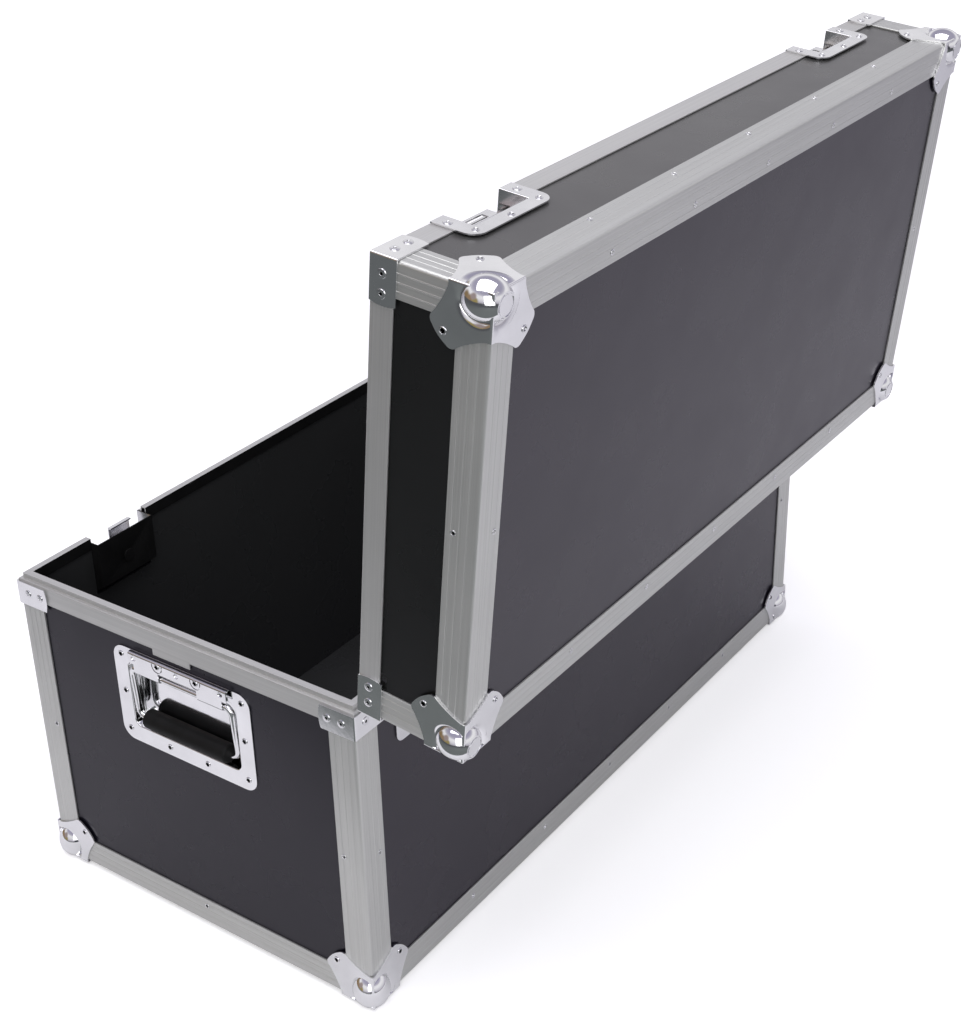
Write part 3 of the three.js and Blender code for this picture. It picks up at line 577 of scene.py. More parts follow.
def arcPoints(x, y, radius, start, end, steps):
    return [(x + radius * math.cos(start + (end - start) * i / steps),
             y + radius * math.sin(start + (end - start) * i / steps)) for i in range(steps + 1)]


def roundedOutline(halfWidth, halfHeight, radius, steps=8):
    outline = []
    for sx, sy, turn in ((1, 1, 0), (-1, 1, 1), (-1, -1, 2), (1, -1, 3)):
        outline += arcPoints(sx * (halfWidth - radius), sy * (halfHeight - radius), radius,
                             turn * quarter, (turn + 1) * quarter, steps)
    return outline


def facing(place, normal):           # moves the Z axis onto a normal at a place
    return Matrix.Translation(place) @ Vector(normal).to_track_quat('Z', 'Y').to_matrix().to_4x4()


def cornerTurn(i):                   # from the front left corner's axes to corner i's
    sx, sy = ((-1, -1), (1, -1), (1, 1), (-1, 1))[i]
    return Matrix.Translation((sx * halfLength, sy * halfDepth, 0)) @ Matrix.Rotation(i * quarter, 4, 'Z')


cyclic = Matrix(((0, 0, 1, 0), (1, 0, 0, 0), (0, 1, 0, 0), (0, 0, 0, 1)))    # x, y, z take z, x, y
turnOver = Matrix.Rotation(math.pi, 4, Vector((1, 1, 0)).normalized())
cornerNames = ("front_left", "front_right", "back_right", "back_left")


# Rivets: a low head with a hollow in its middle
rivetShape = {"sides": 20, "shoulderShare": 0.45, "domeShare": 0.3, "edge": 0.18 * mm}
rivetSizes = {
    "small": {"radius": 2.6 * mm, "height": 0.5 * mm, "hollow": 1.6 * mm, "depth": 1.5 * mm},
    "brace": {"radius": 4.0 * mm, "height": 0.6 * mm, "hollow": 1.4 * mm, "depth": 1.6 * mm},
    "plate": {"radius": 3.2 * mm, "height": 0.6 * mm, "hollow": 2.1 * mm, "depth": 1.7 * mm},
}


def makeRivet(kind):
    size, shape = rivetSizes[kind], rivetShape
    rivet = primitive(bpy.ops.mesh.primitive_cylinder_add, vertices=shape["sides"], radius=size["radius"],
                      depth=size["height"], location=(0, 0, size["height"] / 2))
    with editing(rivet):
        bpy.ops.mesh.select_mode(type='FACE')
        bpy.ops.mesh.select_all(action='DESELECT')
    for face in rivet.data.polygons:
        face.select = face.center.z > size["height"] - touching
    rim = size["radius"] - size["hollow"]
    with editing(rivet):
        bpy.ops.mesh.inset(thickness=rim * shape["shoulderShare"])
        bpy.ops.transform.translate(value=(0, 0, size["height"] * shape["domeShare"]))
        bpy.ops.mesh.inset(thickness=rim * (1 - shape["shoulderShare"]))
        bpy.ops.mesh.extrude_region_move(TRANSFORM_OT_translate={"value": (0, 0, -size["depth"])})
    return soften(rivet, shape["edge"], segments=1)


rivets = {kind: makeRivet(kind) for kind in rivetSizes}


def rivetRow(name, kind, body, spots, turn=inPlace):
    made = [copyOf(rivets[kind], name, turn @ facing(place, normal)) for place, normal in spots]
    return hand(merge(made, name), body, "zinc_steel", "zinc")


# Edge extrusions: a ribbed angle, cut to length between the ball corners
angle = {
    "flange": 30 * mm,
    "sheet": 1.6 * mm,
    "rounding": 3 * mm,
    "ribs": (9.7 * mm, 16.7 * mm, 24 * mm),
    "ribHeight": 0.22 * mm,
    "ribWidth": 1.5 * mm,
    "ribCrest": 0.6 * mm,
    "lip": 0.35 * mm,
    "bendSteps": 6,
    "smoothAngle": math.radians(25),
    "lidAbove": 22.3 * mm,         # the lid's uprights, from the base's top
    "lidBelow": 30.3 * mm,         # and from the lid's
    "endGap": 34 * mm,             # its ends sit under the ball corners' plates
}


def angleOutline():
    flange, sheet, rounding, lip = angle["flange"], angle["sheet"], angle["rounding"], angle["lip"]
    height, foot, crest = angle["ribHeight"], angle["ribWidth"] / 2, angle["ribCrest"] / 2
    side = [(flange, sheet), (flange, lip), (flange - lip, 0)]
    for rib in reversed(angle["ribs"]):
        side += [(rib + foot, 0), (rib + crest, -height), (rib - crest, -height), (rib - foot, 0)]
    bend = arcPoints(rounding, rounding, rounding, 3 * quarter, 2 * quarter, angle["bendSteps"])
    other = [(y, x) for x, y in reversed(side)]
    return side + bend + other + [(sheet, sheet)]


def makeAngle(length):               # along Z, with its edge on the axis
    piece = cutOut("angle", angleOutline(), -length / 2, length / 2)
    chooseOnly(piece)
    bpy.ops.object.shade_smooth_by_angle(angle=angle["smoothAngle"])
    return piece


def makeEdges():
    longBar = makeAngle(2 * (halfLength - angle["endGap"]))
    shortBar = makeAngle(2 * (halfDepth - angle["endGap"]))
    front = Matrix.Translation((0, -halfDepth, 0)) @ cyclic
    end = Matrix.Rotation(quarter, 4, 'Z') @ Matrix.Translation((0, -halfLength, 0)) @ cyclic
    half = Matrix.Rotation(math.pi, 4, 'Z')
    flip = Matrix.Translation((0, 0, case["lidTop"])) @ Matrix.Rotation(math.pi, 4, 'X')
    for bars, paint, lidPaint, turns, word in (
            (longBar, "aluminiumX", "aluminiumX", (front, half @ front), "long"),
            (shortBar, "aluminiumY", "aluminiumLidY", (end, half @ end), "short")):
        base = merge([copyOf(bars, "bar", turn) for turn in turns], f"base_bottom_{word}_angles")
        hand(base, "base", "aluminium", paint, "base_bottom_angle_frame")
        lid = merge([copyOf(bars, "bar", toOpenLid @ flip @ turn) for turn in turns],
                    f"lid_top_{word}_angles")
        hand(lid, "lid", "aluminium", lidPaint, "lid_top_angle_frame")
    drop(longBar, shortBar)

    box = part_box("base_angle_front_left")
    for body, paint, low, high, turn in (
            ("base", "aluminiumZ", box[0].z, box[1].z, inPlace),
            ("lid", "aluminiumLidZ", case["baseHeight"] + angle["lidAbove"],
             case["lidTop"] - angle["lidBelow"], toOpenLid)):
        upright = makeAngle(high - low)
        for i, name in enumerate(cornerNames):
            piece = copyOf(upright, f"{body}_upright_{name}",
                           turn @ Matrix.Translation((0, 0, (low + high) / 2)) @ cornerTurn(i))
            hand(piece, body, "aluminium", paint, f"{body}_angle_{name}")
        drop(upright)


makeEdges()
print("edge extrusions ready")


# Ball corners, modelled at the corner of three faces that lie on x, y and z = 0
corner = {
    "centre": (10.4 * mm, 10.4 * mm, 12 * mm), "ball": (17.9 * mm, 17.9 * mm, 19.9 * mm),
    "proud": 4.15 * mm, "sheet": 1.5 * mm, "dish": 20.4 * mm, "dishSlope": math.radians(36),
    "dishFloor": 2.8 * mm, "ridge": 2 * mm, "bulge": 1.2 * mm, "block": 33.6 * mm, "content": 6.3 * mm,
    "fold": 37.5 * mm, "foldStraight": 3 * mm, "foldRounding": 1.3 * mm,
    "waist": (41.5 * mm, 16 * mm), "lobe": (45.5 * mm, 32.5 * mm), "lobeRadius": 6.5 * mm,
    "lobeStart": math.radians(-50), "rivetAt": 40 * mm, "edge": 0.3 * mm,
    "ring": (9.7 * mm, 8.1 * mm, 0.9 * mm), "weld": 0.04 * mm, "ballSides": 80, "dishSides": 72,
    "steps": 8, "bulgeSteps": 6, "foldSegments": 4, "smoothAngle": math.radians(38),
    "over": 1 * mm, "trimOver": 0.3 * mm, "dishReach": 4 * mm, "far": 60 * mm, "farther": 80 * mm,
    "level": 0.05 * mm,            # the base's front balls end this much inside the solids'
}


def bentLine(start, pull, end, steps):
    points = []
    for i in range(steps + 1):
        t = i / steps
        points.append(tuple((1 - t) ** 2 * a + 2 * t * (1 - t) * b + t * t * c
                            for a, b, c in zip(start, pull, end)))
    return points


def cornerOutline(outside):
    (lobeX, lobeY), radius, start = corner["lobe"], corner["lobeRadius"], corner["lobeStart"]
    lobeFoot = (lobeX + radius * math.cos(start), lobeY + radius * math.sin(start))
    side = [(corner["fold"], outside)]
    side += bentLine((corner["fold"], corner["foldStraight"]), corner["waist"], lobeFoot, corner["steps"])
    side += arcPoints(lobeX, lobeY, radius, start, quarter / 2, corner["steps"])[1:]
    tipX, tipY = side[-1]
    middle = (tipX + tipY) / 2 + 2 * corner["bulge"] / math.sqrt(2)
    other = [(y, x) for x, y in reversed(side)]
    tip = bentLine(side[-1], (middle, middle), other[0], corner["bulgeSteps"])[1:-1]
    return [(outside, outside)] + side + tip + other


def cubeBetween(low, high):
    size = high - low
    return cutOut("cube", [(low, low), (high, low), (high, high), (low, high)], low, low + size)


def rodAlongZ(radius, low, high, sides=48):
    return primitive(bpy.ops.mesh.primitive_cylinder_add, vertices=sides, radius=radius, depth=high - low,
                     location=(0, 0, (low + high) / 2))


def facettedBall():                  # a ball with a flat below, which has a ring pressed into it
    sides = corner["ballSides"]
    ball = primitive(bpy.ops.mesh.primitive_uv_sphere_add, segments=sides, ring_count=sides // 2, radius=1)
    ball.data.transform(Matrix.Translation(corner["centre"]) @ Matrix.Diagonal((*corner["ball"], 1)))
    far, over = corner["far"], corner["over"]
    flat = cutOut("flat", [(-far, -far), (far, -far), (far, far), (-far, far)], -corner["proud"], far)
    combine(ball, flat, 'INTERSECT')
    ringOut, ringIn, depth = corner["ring"]
    ring = combine(rodAlongZ(ringOut, -2 * over, depth),
                   rodAlongZ(ringIn, -3 * over, 2 * depth), 'DIFFERENCE')
    ring.data.transform(Matrix.Translation((corner["centre"][0], corner["centre"][1], -corner["proud"])))
    return combine(ball, ring, 'DIFFERENCE')


def dishCutter(axis):                # a cone that opens outwards round the ball, square to one wall
    outside = -(case["plateGap"] + corner["sheet"])
    reach, floor = corner["dishReach"], corner["dishFloor"]
    flare = 1 / math.tan(corner["dishSlope"])
    high = corner["dish"] + reach * flare
    low = corner["dish"] - (floor - outside) * flare
    cone = primitive(bpy.ops.mesh.primitive_cone_add, vertices=corner["dishSides"], radius1=high, radius2=low,
                     depth=reach + floor - outside, location=(0, 0, (outside - reach + floor) / 2))
    place = list(corner["centre"])
    place[axis] = 0
    cone.data.transform(Matrix.Translation(place) @ (cyclic, cyclic @ cyclic, inPlace)[axis])
    ridge = cubeBetween(outside + corner["ridge"], corner["far"])      # the folds beside it stay whole
    lift = Vector((0, 0, 0))
    lift[axis] = -10 * corner["over"]
    ridge.data.transform(Matrix.Translation(lift))
    return combine(cone, ridge, 'INTERSECT')


def roundedCube(low, high, rounding):          # its three edges at the low corner are rounded
    def onFold(a, b):
        return sum(abs(p - low) < touching and abs(q - low) < touching for p, q in zip(a, b)) == 2
    cube = cubeBetween(low, high)
    bevelEdges(cube, onFold, rounding, corner["foldSegments"])
    return cube


def makeBallCorner():
    outside = -(case["plateGap"] + corner["sheet"])
    over, far = corner["trimOver"], corner["farther"]
    piece = roundedCube(outside, far, corner["foldRounding"])
    trim = cutOut("trim", cornerOutline(outside - over), outside - over, over)
    second, third = copyOf(trim, "trim", cyclic), copyOf(trim, "trim", cyclic @ cyclic)
    combine(trim, second, 'UNION')
    combine(trim, third, 'UNION')
    combine(trim, cubeBetween(outside - 2 * over, corner["block"]), 'UNION')
    combine(piece, trim, 'INTERSECT')
    inner = combine(cubeBetween(-case["plateGap"], 2 * far),
                    cubeBetween(-5 * corner["over"], corner["block"] - hair), 'DIFFERENCE')
    combine(piece, inner, 'DIFFERENCE')
    for axis in range(3):
        combine(piece, dishCutter(axis), 'DIFFERENCE')
    combine(piece, facettedBall(), 'UNION')
    combine(piece, cubeBetween(corner["content"], far), 'DIFFERENCE')
    applyModifier(piece, 'WELD', merge_threshold=corner["weld"])
    return soften(piece, corner["edge"], angle=corner["smoothAngle"])


def placeBallCorners():
    model = makeBallCorner()
    rivetSpots = []
    for across in (2, 1, 0):
        place, normal = [corner["rivetAt"]] * 3, [0, 0, 0]
        place[across] = -(case["plateGap"] + corner["sheet"])
        normal[across] = -1
        rivetSpots.append((place, normal))
    heads = merge([copyOf(rivets["plate"], "head", facing(*spot)) for spot in rivetSpots], "heads")
    lidTurn = toOpenLid @ Matrix.Translation((0, 0, case["lidTop"]))
    for i, name in enumerate(cornerNames):
        for body, turn, over in (("base", inPlace, inPlace), ("lid", lidTurn, turnOver)):
            matrix = turn @ cornerTurn(i) @ over
            piece = copyOf(model, f"{body}_ball_corner_chrome_{name}", matrix)
            if (body, name[:5]) == ("base", "front"):        # their balls stay level with the solids
                front = corner["level"] - halfDepth - corner["proud"]
                room = cubeBetween(-halfLength * 2, halfLength * 2)
                room.data.transform(Matrix.Translation((0, halfLength * 2 + front, 0)))
                combine(piece, room, 'INTERSECT')
            hand(piece, body, "zinc_steel", "chrome", f"{body}_ball_corner_{name}")
            hand(copyOf(heads, f"{body}_ball_corner_rivets_{name}", matrix), body, "zinc_steel", "zinc")
    drop(model, heads)


placeBallCorners()
print("ball corners ready")


# Braces over the rim's corners
brace = {
    "reach": 38.5 * mm, "bow": 2 * mm, "height": 24.5 * mm, "sheet": 1.5 * mm,
    "baseGap": 2.4 * mm, "lidGap": 0.8 * mm,
    "rivets": (13 * mm, 29 * mm), "rivetRise": 11.3 * mm, "fold": 1.4 * mm, "edge": 0.3 * mm,
    "steps": 10, "foldSegments": 4,
}


def placeBraces():
    outside = -(case["plateGap"] + brace["sheet"])
    end = brace["reach"] - brace["bow"]
    outline = [(outside, 0)] + bentLine((end, 0), (brace["reach"] + brace["bow"], brace["height"] / 2),
                                        (end, brace["height"]), brace["steps"])
    outline.append((outside, brace["height"]))
    standing = Matrix(((1, 0, 0, 0), (0, 0, 1, 0), (0, 1, 0, 0), (0, 0, 0, 1)))      # x, z plane
    swapped = Matrix(((0, 1, 0, 0), (1, 0, 0, 0), (0, 0, 1, 0), (0, 0, 0, 1)))
    leg = cutOut("brace", outline, outside, -case["plateGap"])
    leg.data.transform(standing)
    other = copyOf(leg, "leg", swapped)
    for piece in (leg, other):                # both matrices mirror
        turnFacesOutwards(piece)
    model = combine(leg, other, 'UNION')
    bevelEdges(model, lambda a, b: all(abs(p - outside) < touching for p in (a.x, a.y, b.x, b.y)),
               brace["fold"], brace["foldSegments"])
    soften(model, brace["edge"])
    spots = []
    for reach in brace["rivets"]:
        spots.append(((reach, outside, brace["rivetRise"]), (0, -1, 0)))
        spots.append(((outside, reach, brace["rivetRise"]), (-1, 0, 0)))
    heads = merge([copyOf(rivets["brace"], "head", facing(*spot)) for spot in spots], "heads")
    low = Matrix.Translation((0, 0, case["baseHeight"] - brace["baseGap"]))
    high = toOpenLid @ Matrix.Translation((0, 0, case["baseHeight"] + brace["lidGap"]))
    for i, name in enumerate(cornerNames):
        for body, turn, over in (("base", low, turnOver), ("lid", high, inPlace)):
            matrix = turn @ cornerTurn(i) @ over
            hand(copyOf(model, f"{body}_brace_plate_{name}", matrix), body, "zinc_steel", "chrome",
                 f"{body}_brace_{name}")
            hand(copyOf(heads, f"{body}_brace_rivets_{name}", matrix), body, "zinc_steel", "zinc")
    drop(model, heads)


placeBraces()
print("braces ready")


# Painted shade: faces that lie in shade, such as those that look into the case, are painted black
def paintShadeBlack(piece, chosen):
    piece.data.materials.append(paints["paintedShade"])
    for face in piece.data.polygons:
        face.material_index = int(chosen(face.center, face.normal))


# Bail handles: x runs along the plate, y up from its lower edge, z outwards from the panel
handle = {
    "panelFace": 413.1 * mm, "bottom": 194 * mm,
    "width": 170 * mm, "height": 105.8 * mm, "corner": 14 * mm, "seat": 0.2 * mm, "face": 1.4 * mm,
    "mouthWidth": 134 * mm, "mouthHeight": 73.5 * mm, "mouthBottom": 18.5 * mm, "mouthCorner": 7 * mm,
    "sheet": 1 * mm, "depth": 13.5 * mm, "flare": 1.1 * mm, "foot": 2.4 * mm,
    "coverHalf": 61 * mm, "coverFront": 5.8 * mm, "coverTop": 105.6 * mm, "coverLow": 93.6 * mm,
    "coverRounding": 2.2 * mm,
    "knuckleOuter": 55 * mm, "knuckleInner": 24 * mm, "knuckleRound": 4.4 * mm,
    "pivotHeight": 86 * mm, "knuckleCurl": math.radians(108),
    "slots": (-24 * mm, 24 * mm), "slotHalf": 5.6 * mm, "slotWidth": 1.1 * mm, "slotMiddle": 101.2 * mm,
    "dimples": (-54 * mm, 0, 54 * mm), "dimpleHeight": 100.2 * mm,
    "dimpleRadius": 3.4 * mm, "dimpleRise": 1.6 * mm,
    "grooves": (70.6 * mm, 73.8 * mm), "grooveHalf": 47 * mm,
    "grooveWidth": 0.7 * mm, "grooveDepth": 0.7 * mm,
    "edge": 0.3 * mm, "smoothAngle": math.radians(38), "over": 1 * mm, "footBelow": 0.6 * mm,
    "slotDrop": 2.4 * mm, "inward": 4 * mm, "flareSegments": 4, "footSegments": 5, "curlSteps": 14,
    "slotSteps": 12, "bendSteps": 10, "rodSides": 6, "dimpleSides": 24,
    "rod": 3.1 * mm, "span": 125 * mm, "drop": 56 * mm, "bend": 8 * mm,
    "tilt": math.radians(3.2), "grip": 9.6 * mm, "gripLength": 104 * mm,
    "gripChamfer": 2.4 * mm, "gripAngle": math.radians(50),
    "rivetsAt": ((-75, 96), (-75, 55), (-75, 12), (-24, 9), (24, 9), (75, 12), (75, 55), (75, 96)),
}


def moved(outline, x, y):
    return [(px + x, py + y) for px, py in outline]


def makeHandlePlate():
    size = handle
    face, sheet = size["face"], size["sheet"]
    back = face - size["depth"]
    halfWidth, halfHeight = size["mouthWidth"] / 2, size["mouthHeight"] / 2
    middle = size["mouthBottom"] + halfHeight
    plate = cutOut("handle", moved(roundedOutline(size["width"] / 2, size["height"] / 2, size["corner"]),
                                   0, size["height"] / 2), size["seat"], face)
    tub = cutOut("tub", moved(roundedOutline(halfWidth + sheet, halfHeight + sheet,
                                             size["mouthCorner"] + sheet), 0, middle),
                 back - sheet, face - hair)
    combine(plate, tub, 'UNION')
    mouth = cutOut("mouth", moved(roundedOutline(halfWidth, halfHeight, size["mouthCorner"]), 0, middle),
                   back, face + 5 * size["over"])
    combine(plate, mouth, 'DIFFERENCE')

    def around(level):
        return lambda a, b: (abs(a.z - level) < touching and abs(b.z - level) < touching
                             and abs(a.x) < halfWidth + hair and abs(a.y - middle) < halfHeight + hair)
    bevelEdges(plate, around(face), size["flare"], size["flareSegments"])
    bevelEdges(plate, around(back), size["foot"], size["footSegments"])
    for height in size["grooves"]:
        half, width = size["grooveHalf"], size["grooveWidth"] / 2
        combine(plate, cutOut("groove", [(-half, height - width), (half, height - width),
                                         (half, height + width), (-half, height + width)],
                              back - size["grooveDepth"], back + size["over"]), 'DIFFERENCE')
    return plate


def uOutline(x, y, half, top):
    bend = arcPoints(x, y, half, 2 * quarter, 4 * quarter, handle["slotSteps"])
    return [(x + half, top), (x - half, top)] + bend


def makeHandleCover():
    size = handle
    face, sheet, front = size["face"], size["sheet"], size["coverFront"]
    top, low, pivot = size["coverTop"], size["coverLow"], size["pivotHeight"]
    root, over = face - size["footBelow"], size["over"]
    cover = cutOut("cover", [(root, top - sheet), (front - sheet, top - sheet), (front - sheet, low),
                             (front, low), (front, top), (root, top)], -size["coverHalf"], size["coverHalf"])
    bevelEdges(cover, lambda a, b: all(abs(p.x - front) + abs(p.y - top) < touching for p in (a, b)),
               size["coverRounding"], size["footSegments"])
    outer = size["knuckleRound"]
    knuckle = ([(front - sheet, low + over), (front, low + over)]
               + arcPoints(face, pivot, outer, 0, -size["knuckleCurl"], size["curlSteps"])
               + arcPoints(face, pivot, outer - sheet, -size["knuckleCurl"], 0, size["curlSteps"]))
    for start, end in ((size["knuckleInner"], size["knuckleOuter"]),
                       (-size["knuckleOuter"], -size["knuckleInner"])):
        combine(cover, cutOut("knuckle", knuckle, start, end), 'UNION')
    cover.data.transform(Matrix.Rotation(-quarter, 4, 'Y'))
    half, middle, slot = size["slotHalf"], size["slotMiddle"], size["slotWidth"]
    for x in size["slots"]:
        ring = cutOut("slot", uOutline(x, middle, half + slot, top - size["slotDrop"]),
                      face, front + 2 * over)
        combine(ring, cutOut("tongue", uOutline(x, middle, half, top), face - over, front + 3 * over),
                'DIFFERENCE')
        combine(cover, ring, 'DIFFERENCE')
    for x in size["dimples"]:
        dimple = primitive(bpy.ops.mesh.primitive_uv_sphere_add, segments=size["dimpleSides"],
                           ring_count=size["dimpleSides"] * 2 // 3, radius=size["dimpleRadius"],
                           location=(x, size["dimpleHeight"], front + size["dimpleRise"]))
        combine(cover, dimple, 'DIFFERENCE')
    return cover


def makeBail():
    size = handle
    line = bpy.data.curves.new("bail", 'CURVE')
    line.dimensions = '3D'
    line.bevel_depth = size["rod"]
    line.bevel_resolution = size["rodSides"]
    half, middle = size["span"] / 2, size["pivotHeight"] - size["drop"] / 2
    path = moved(roundedOutline(half, size["drop"] / 2, size["bend"], size["bendSteps"]), 0, middle)
    spline = line.splines.new('POLY')
    spline.points.add(len(path) - 1)
    for point, (x, y) in zip(spline.points, path):
        point.co = (x, y, size["face"], 1)
    spline.use_cyclic_u = True
    rod = bpy.data.objects.new("bail", line)
    bpy.context.scene.collection.objects.link(rod)
    chooseOnly(rod)
    bpy.ops.object.convert(target='MESH')
    bpy.ops.object.shade_smooth()
    return bpy.context.object


def makeGrip():
    size = handle
    grip = rodAlongZ(size["grip"], -size["gripLength"] / 2, size["gripLength"] / 2)
    soften(grip, size["gripChamfer"], segments=4, angle=size["gripAngle"])
    low = size["pivotHeight"] - size["drop"]
    grip.data.transform(Matrix.Translation((0, low, size["face"])) @ Matrix.Rotation(quarter, 4, 'Y'))
    return grip


def shadedInHandle(back):               # tests for a face in the dish's grooves or on its inward side, which is painted black as painted shade
    floor = handle["face"] - handle["depth"]
    low, high = handle["grooves"]
    middle = Vector((0, handle["mouthBottom"] + handle["mouthHeight"] / 2, floor / 2))
    straight = back.to_3x3()

    def test(place, normal):
        here = back @ place
        inGroove = (floor - handle["grooveDepth"] - hair < here.z < floor - hair
                    and low - handle["over"] < here.y < high + handle["over"])
        return inGroove or (here.z < -handle["inward"] and (here - middle).dot(straight @ normal) > 0)
    return test


def placeHandles():
    size = handle
    shell = combine(makeHandlePlate(), makeHandleCover(), 'UNION')
    soften(shell, size["edge"], angle=size["smoothAngle"])
    bailRod, grip = makeBail(), makeGrip()
    pivot = Vector((0, size["pivotHeight"], size["face"]))
    lean = Matrix.Translation(pivot) @ Matrix.Rotation(size["tilt"], 4, 'X') @ Matrix.Translation(-pivot)
    for piece in (bailRod, grip):
        piece.data.transform(lean)
    heads = [copyOf(rivets["plate"], "head", Matrix.Translation((x * mm, y * mm, size["face"])))
             for x, y in size["rivetsAt"]]
    heads += [copyOf(rivets["plate"], "head", Matrix.Translation((x, size["slotMiddle"], size["coverFront"])))
              for x in size["slots"]]
    heads = merge(heads, "heads")
    for side, spin in (("right", 0), ("left", math.pi)):
        turn = (Matrix.Rotation(spin, 4, 'Z') @ Matrix.Translation((size["panelFace"], 0, size["bottom"]))
                @ cyclic)
        piece = hand(copyOf(shell, f"handle_shell_{side}", turn), "base", "zinc_steel", "chrome",
                     f"handle_{side}_dish")
        # painted shade: black in the dish's grooves and on its side inside the case
        paintShadeBlack(piece, shadedInHandle(turn.inverted()))
        hand(copyOf(heads, f"handle_rivets_{side}", turn), "base", "zinc_steel", "zinc")
        hand(copyOf(bailRod, f"handle_rod_{side}", turn), f"bail_{side}", "zinc_steel", "chrome",
             f"handle_{side}_bail")
        hand(copyOf(grip, f"handle_sleeve_{side}", turn), f"bail_{side}", "rubber", "rubber",
             f"handle_{side}_grip")
    drop(shell, bailRod, grip, heads)


placeHandles()
print("handles ready")


# Latch plates: x along the case from the latch's middle, y inwards, z up from the parting line
latch = {
    "middles": {"left": -291 * mm, "right": 291 * mm},
    "halfWidth": 53.5 * mm, "corner": 13 * mm, "sheet": 1.2 * mm, "gap": 0.6 * mm,
    "recessHalf": 36.5 * mm, "recessDepth": 18 * mm, "panelDepth": 8.9 * mm, "roll": 0.9 * mm,
    "edge": 0.25 * mm, "smoothAngle": math.radians(35), "over": 3 * mm, "steps": 8,
    "rollSegments": 4, "boreSides": 32,
    "base": {"rise": 68 * mm, "recess": 60 * mm, "slope": 11 * mm,
             "rivets": ((-47.5, 10), (47.5, 10), (-45, 40), (45, 40), (-43, 63.5), (0, 64), (43, 63.5))},
    "lid": {"rise": 43 * mm, "recess": 29 * mm, "slope": 18.5 * mm,
            "rivets": ((-46, 11.5), (46, 11.5), (-42.5, 34.5), (0, 37.5), (42.5, 34.5))},
    "tabHalf": 28 * mm, "tabDepth": 14.7 * mm, "tabDrop": 3.5 * mm, "windowHalf": 17 * mm,
    "windowLow": -0.7 * mm, "windowHigh": 6.3 * mm, "axle": (28.5 * mm, 4.3 * mm),
    "lining": {"from": 0.15 * mm, "to": 0.95 * mm, "rise": 0.5 * mm},      # behind the dish's wall
    "middle": 25 * mm,             # of each half's recess, from the parting line
}


def makeLatchPlate(part, direction):
    size, sheet, gap = latch[part], latch["sheet"], latch["gap"]
    rise, recess, depth = size["rise"], size["recess"], latch["recessDepth"]
    front = -(case["plateGap"] + sheet)
    corner, half, wall = latch["corner"], latch["halfWidth"], latch["recessHalf"]
    upright = Matrix.Rotation(quarter, 4, 'X')
    outline = ([(-half, gap), (half, gap)]
               + arcPoints(half - corner, rise - corner, corner, 0, quarter, latch["steps"])
               + arcPoints(corner - half, rise - corner, corner, quarter, 2 * quarter, latch["steps"]))
    plate = cutOut("latch", outline, case["plateGap"], -front)
    plate.data.transform(upright)
    deep = recess - size["slope"]
    run = depth - front
    tilt = math.hypot(run, size["slope"])
    outY, outZ = sheet * size["slope"] / tilt, sheet * run / tilt
    fall = size["slope"] / run
    shell = cutOut("shell", [(front + sheet / 2, gap), (depth + sheet, gap),
                             (depth + sheet, deep + outZ - (sheet - outY) * fall),
                             (front + sheet / 2, recess + outZ + (outY - sheet / 2) * fall)],
                   -wall - sheet, wall + sheet)
    over = latch["over"]
    hollow = cutOut("hollow", [(front - over, -over), (depth, -over), (depth, deep),
                               (front, recess), (front - over, recess)], -wall, wall)
    for piece in (shell, hollow):
        piece.data.transform(cyclic)
    combine(plate, shell, 'UNION')
    combine(plate, hollow, 'DIFFERENCE')
    bevelEdges(plate, lambda a, b: all(abs(p.y - front) < touching and abs(p.x) < wall + hair
                                       and p.z < recess + hair for p in (a, b))
               and max(a.z, b.z) > gap + hair, latch["roll"], latch["rollSegments"])
    if part == "lid":
        back = latch["tabDepth"] + sheet
        low, high = latch["windowLow"], latch["windowHigh"]
        tab = cutOut("tab", [(latch["tabDepth"], -latch["tabDrop"]), (back, -latch["tabDrop"]),
                             (back, high), (depth + sheet / 2, high), (depth + sheet / 2, high + sheet),
                             (latch["tabDepth"], high + sheet)], -latch["tabHalf"], latch["tabHalf"])
        tab.data.transform(cyclic)
        window = cutOut("window", [(-latch["windowHalf"], low), (latch["windowHalf"], low),
                                   (latch["windowHalf"], high), (-latch["windowHalf"], high)],
                        -back - over, 0)
        window.data.transform(upright)
        combine(tab, window, 'DIFFERENCE')
        combine(plate, tab, 'UNION')
        wallBack, low = depth + sheet, gap + latch["lining"]["rise"]
        near, far = wallBack + latch["lining"]["from"], wallBack + latch["lining"]["to"]
        lining = cutOut("lining", [(wallBack - hair, low), (near, low), (near, -latch["tabDrop"]),
                                   (far, -latch["tabDrop"]), (far, high + sheet / 2),
                                   (wallBack - hair, high + sheet / 2)], -latch["tabHalf"], latch["tabHalf"])
        lining.data.transform(cyclic)
        combine(plate, lining, 'UNION')
    else:
        down, radius = latch["axle"]
        bore = rodAlongZ(radius, -depth - over, 0, sides=latch["boreSides"])
        bore.data.transform(Matrix.Translation((0, 0, down)) @ upright)
        combine(plate, bore, 'DIFFERENCE')
    soften(plate, latch["edge"], angle=latch["smoothAngle"])
    heads = []
    for i, (x, z) in enumerate(size["rivets"]):
        kind = "brace" if i < 2 else "plate"      # the two by the parting line are larger
        heads.append(copyOf(rivets[kind], "head", facing((x * mm, front, z * mm), (0, -1, 0))))
    heads = merge(heads, "heads")
    if direction < 0:                   # the base half hangs down
        for piece in (plate, heads):
            piece.data.transform(Matrix.Scale(-1, 4, (0, 0, 1)))
            piece.data.flip_normals()
    return plate, heads


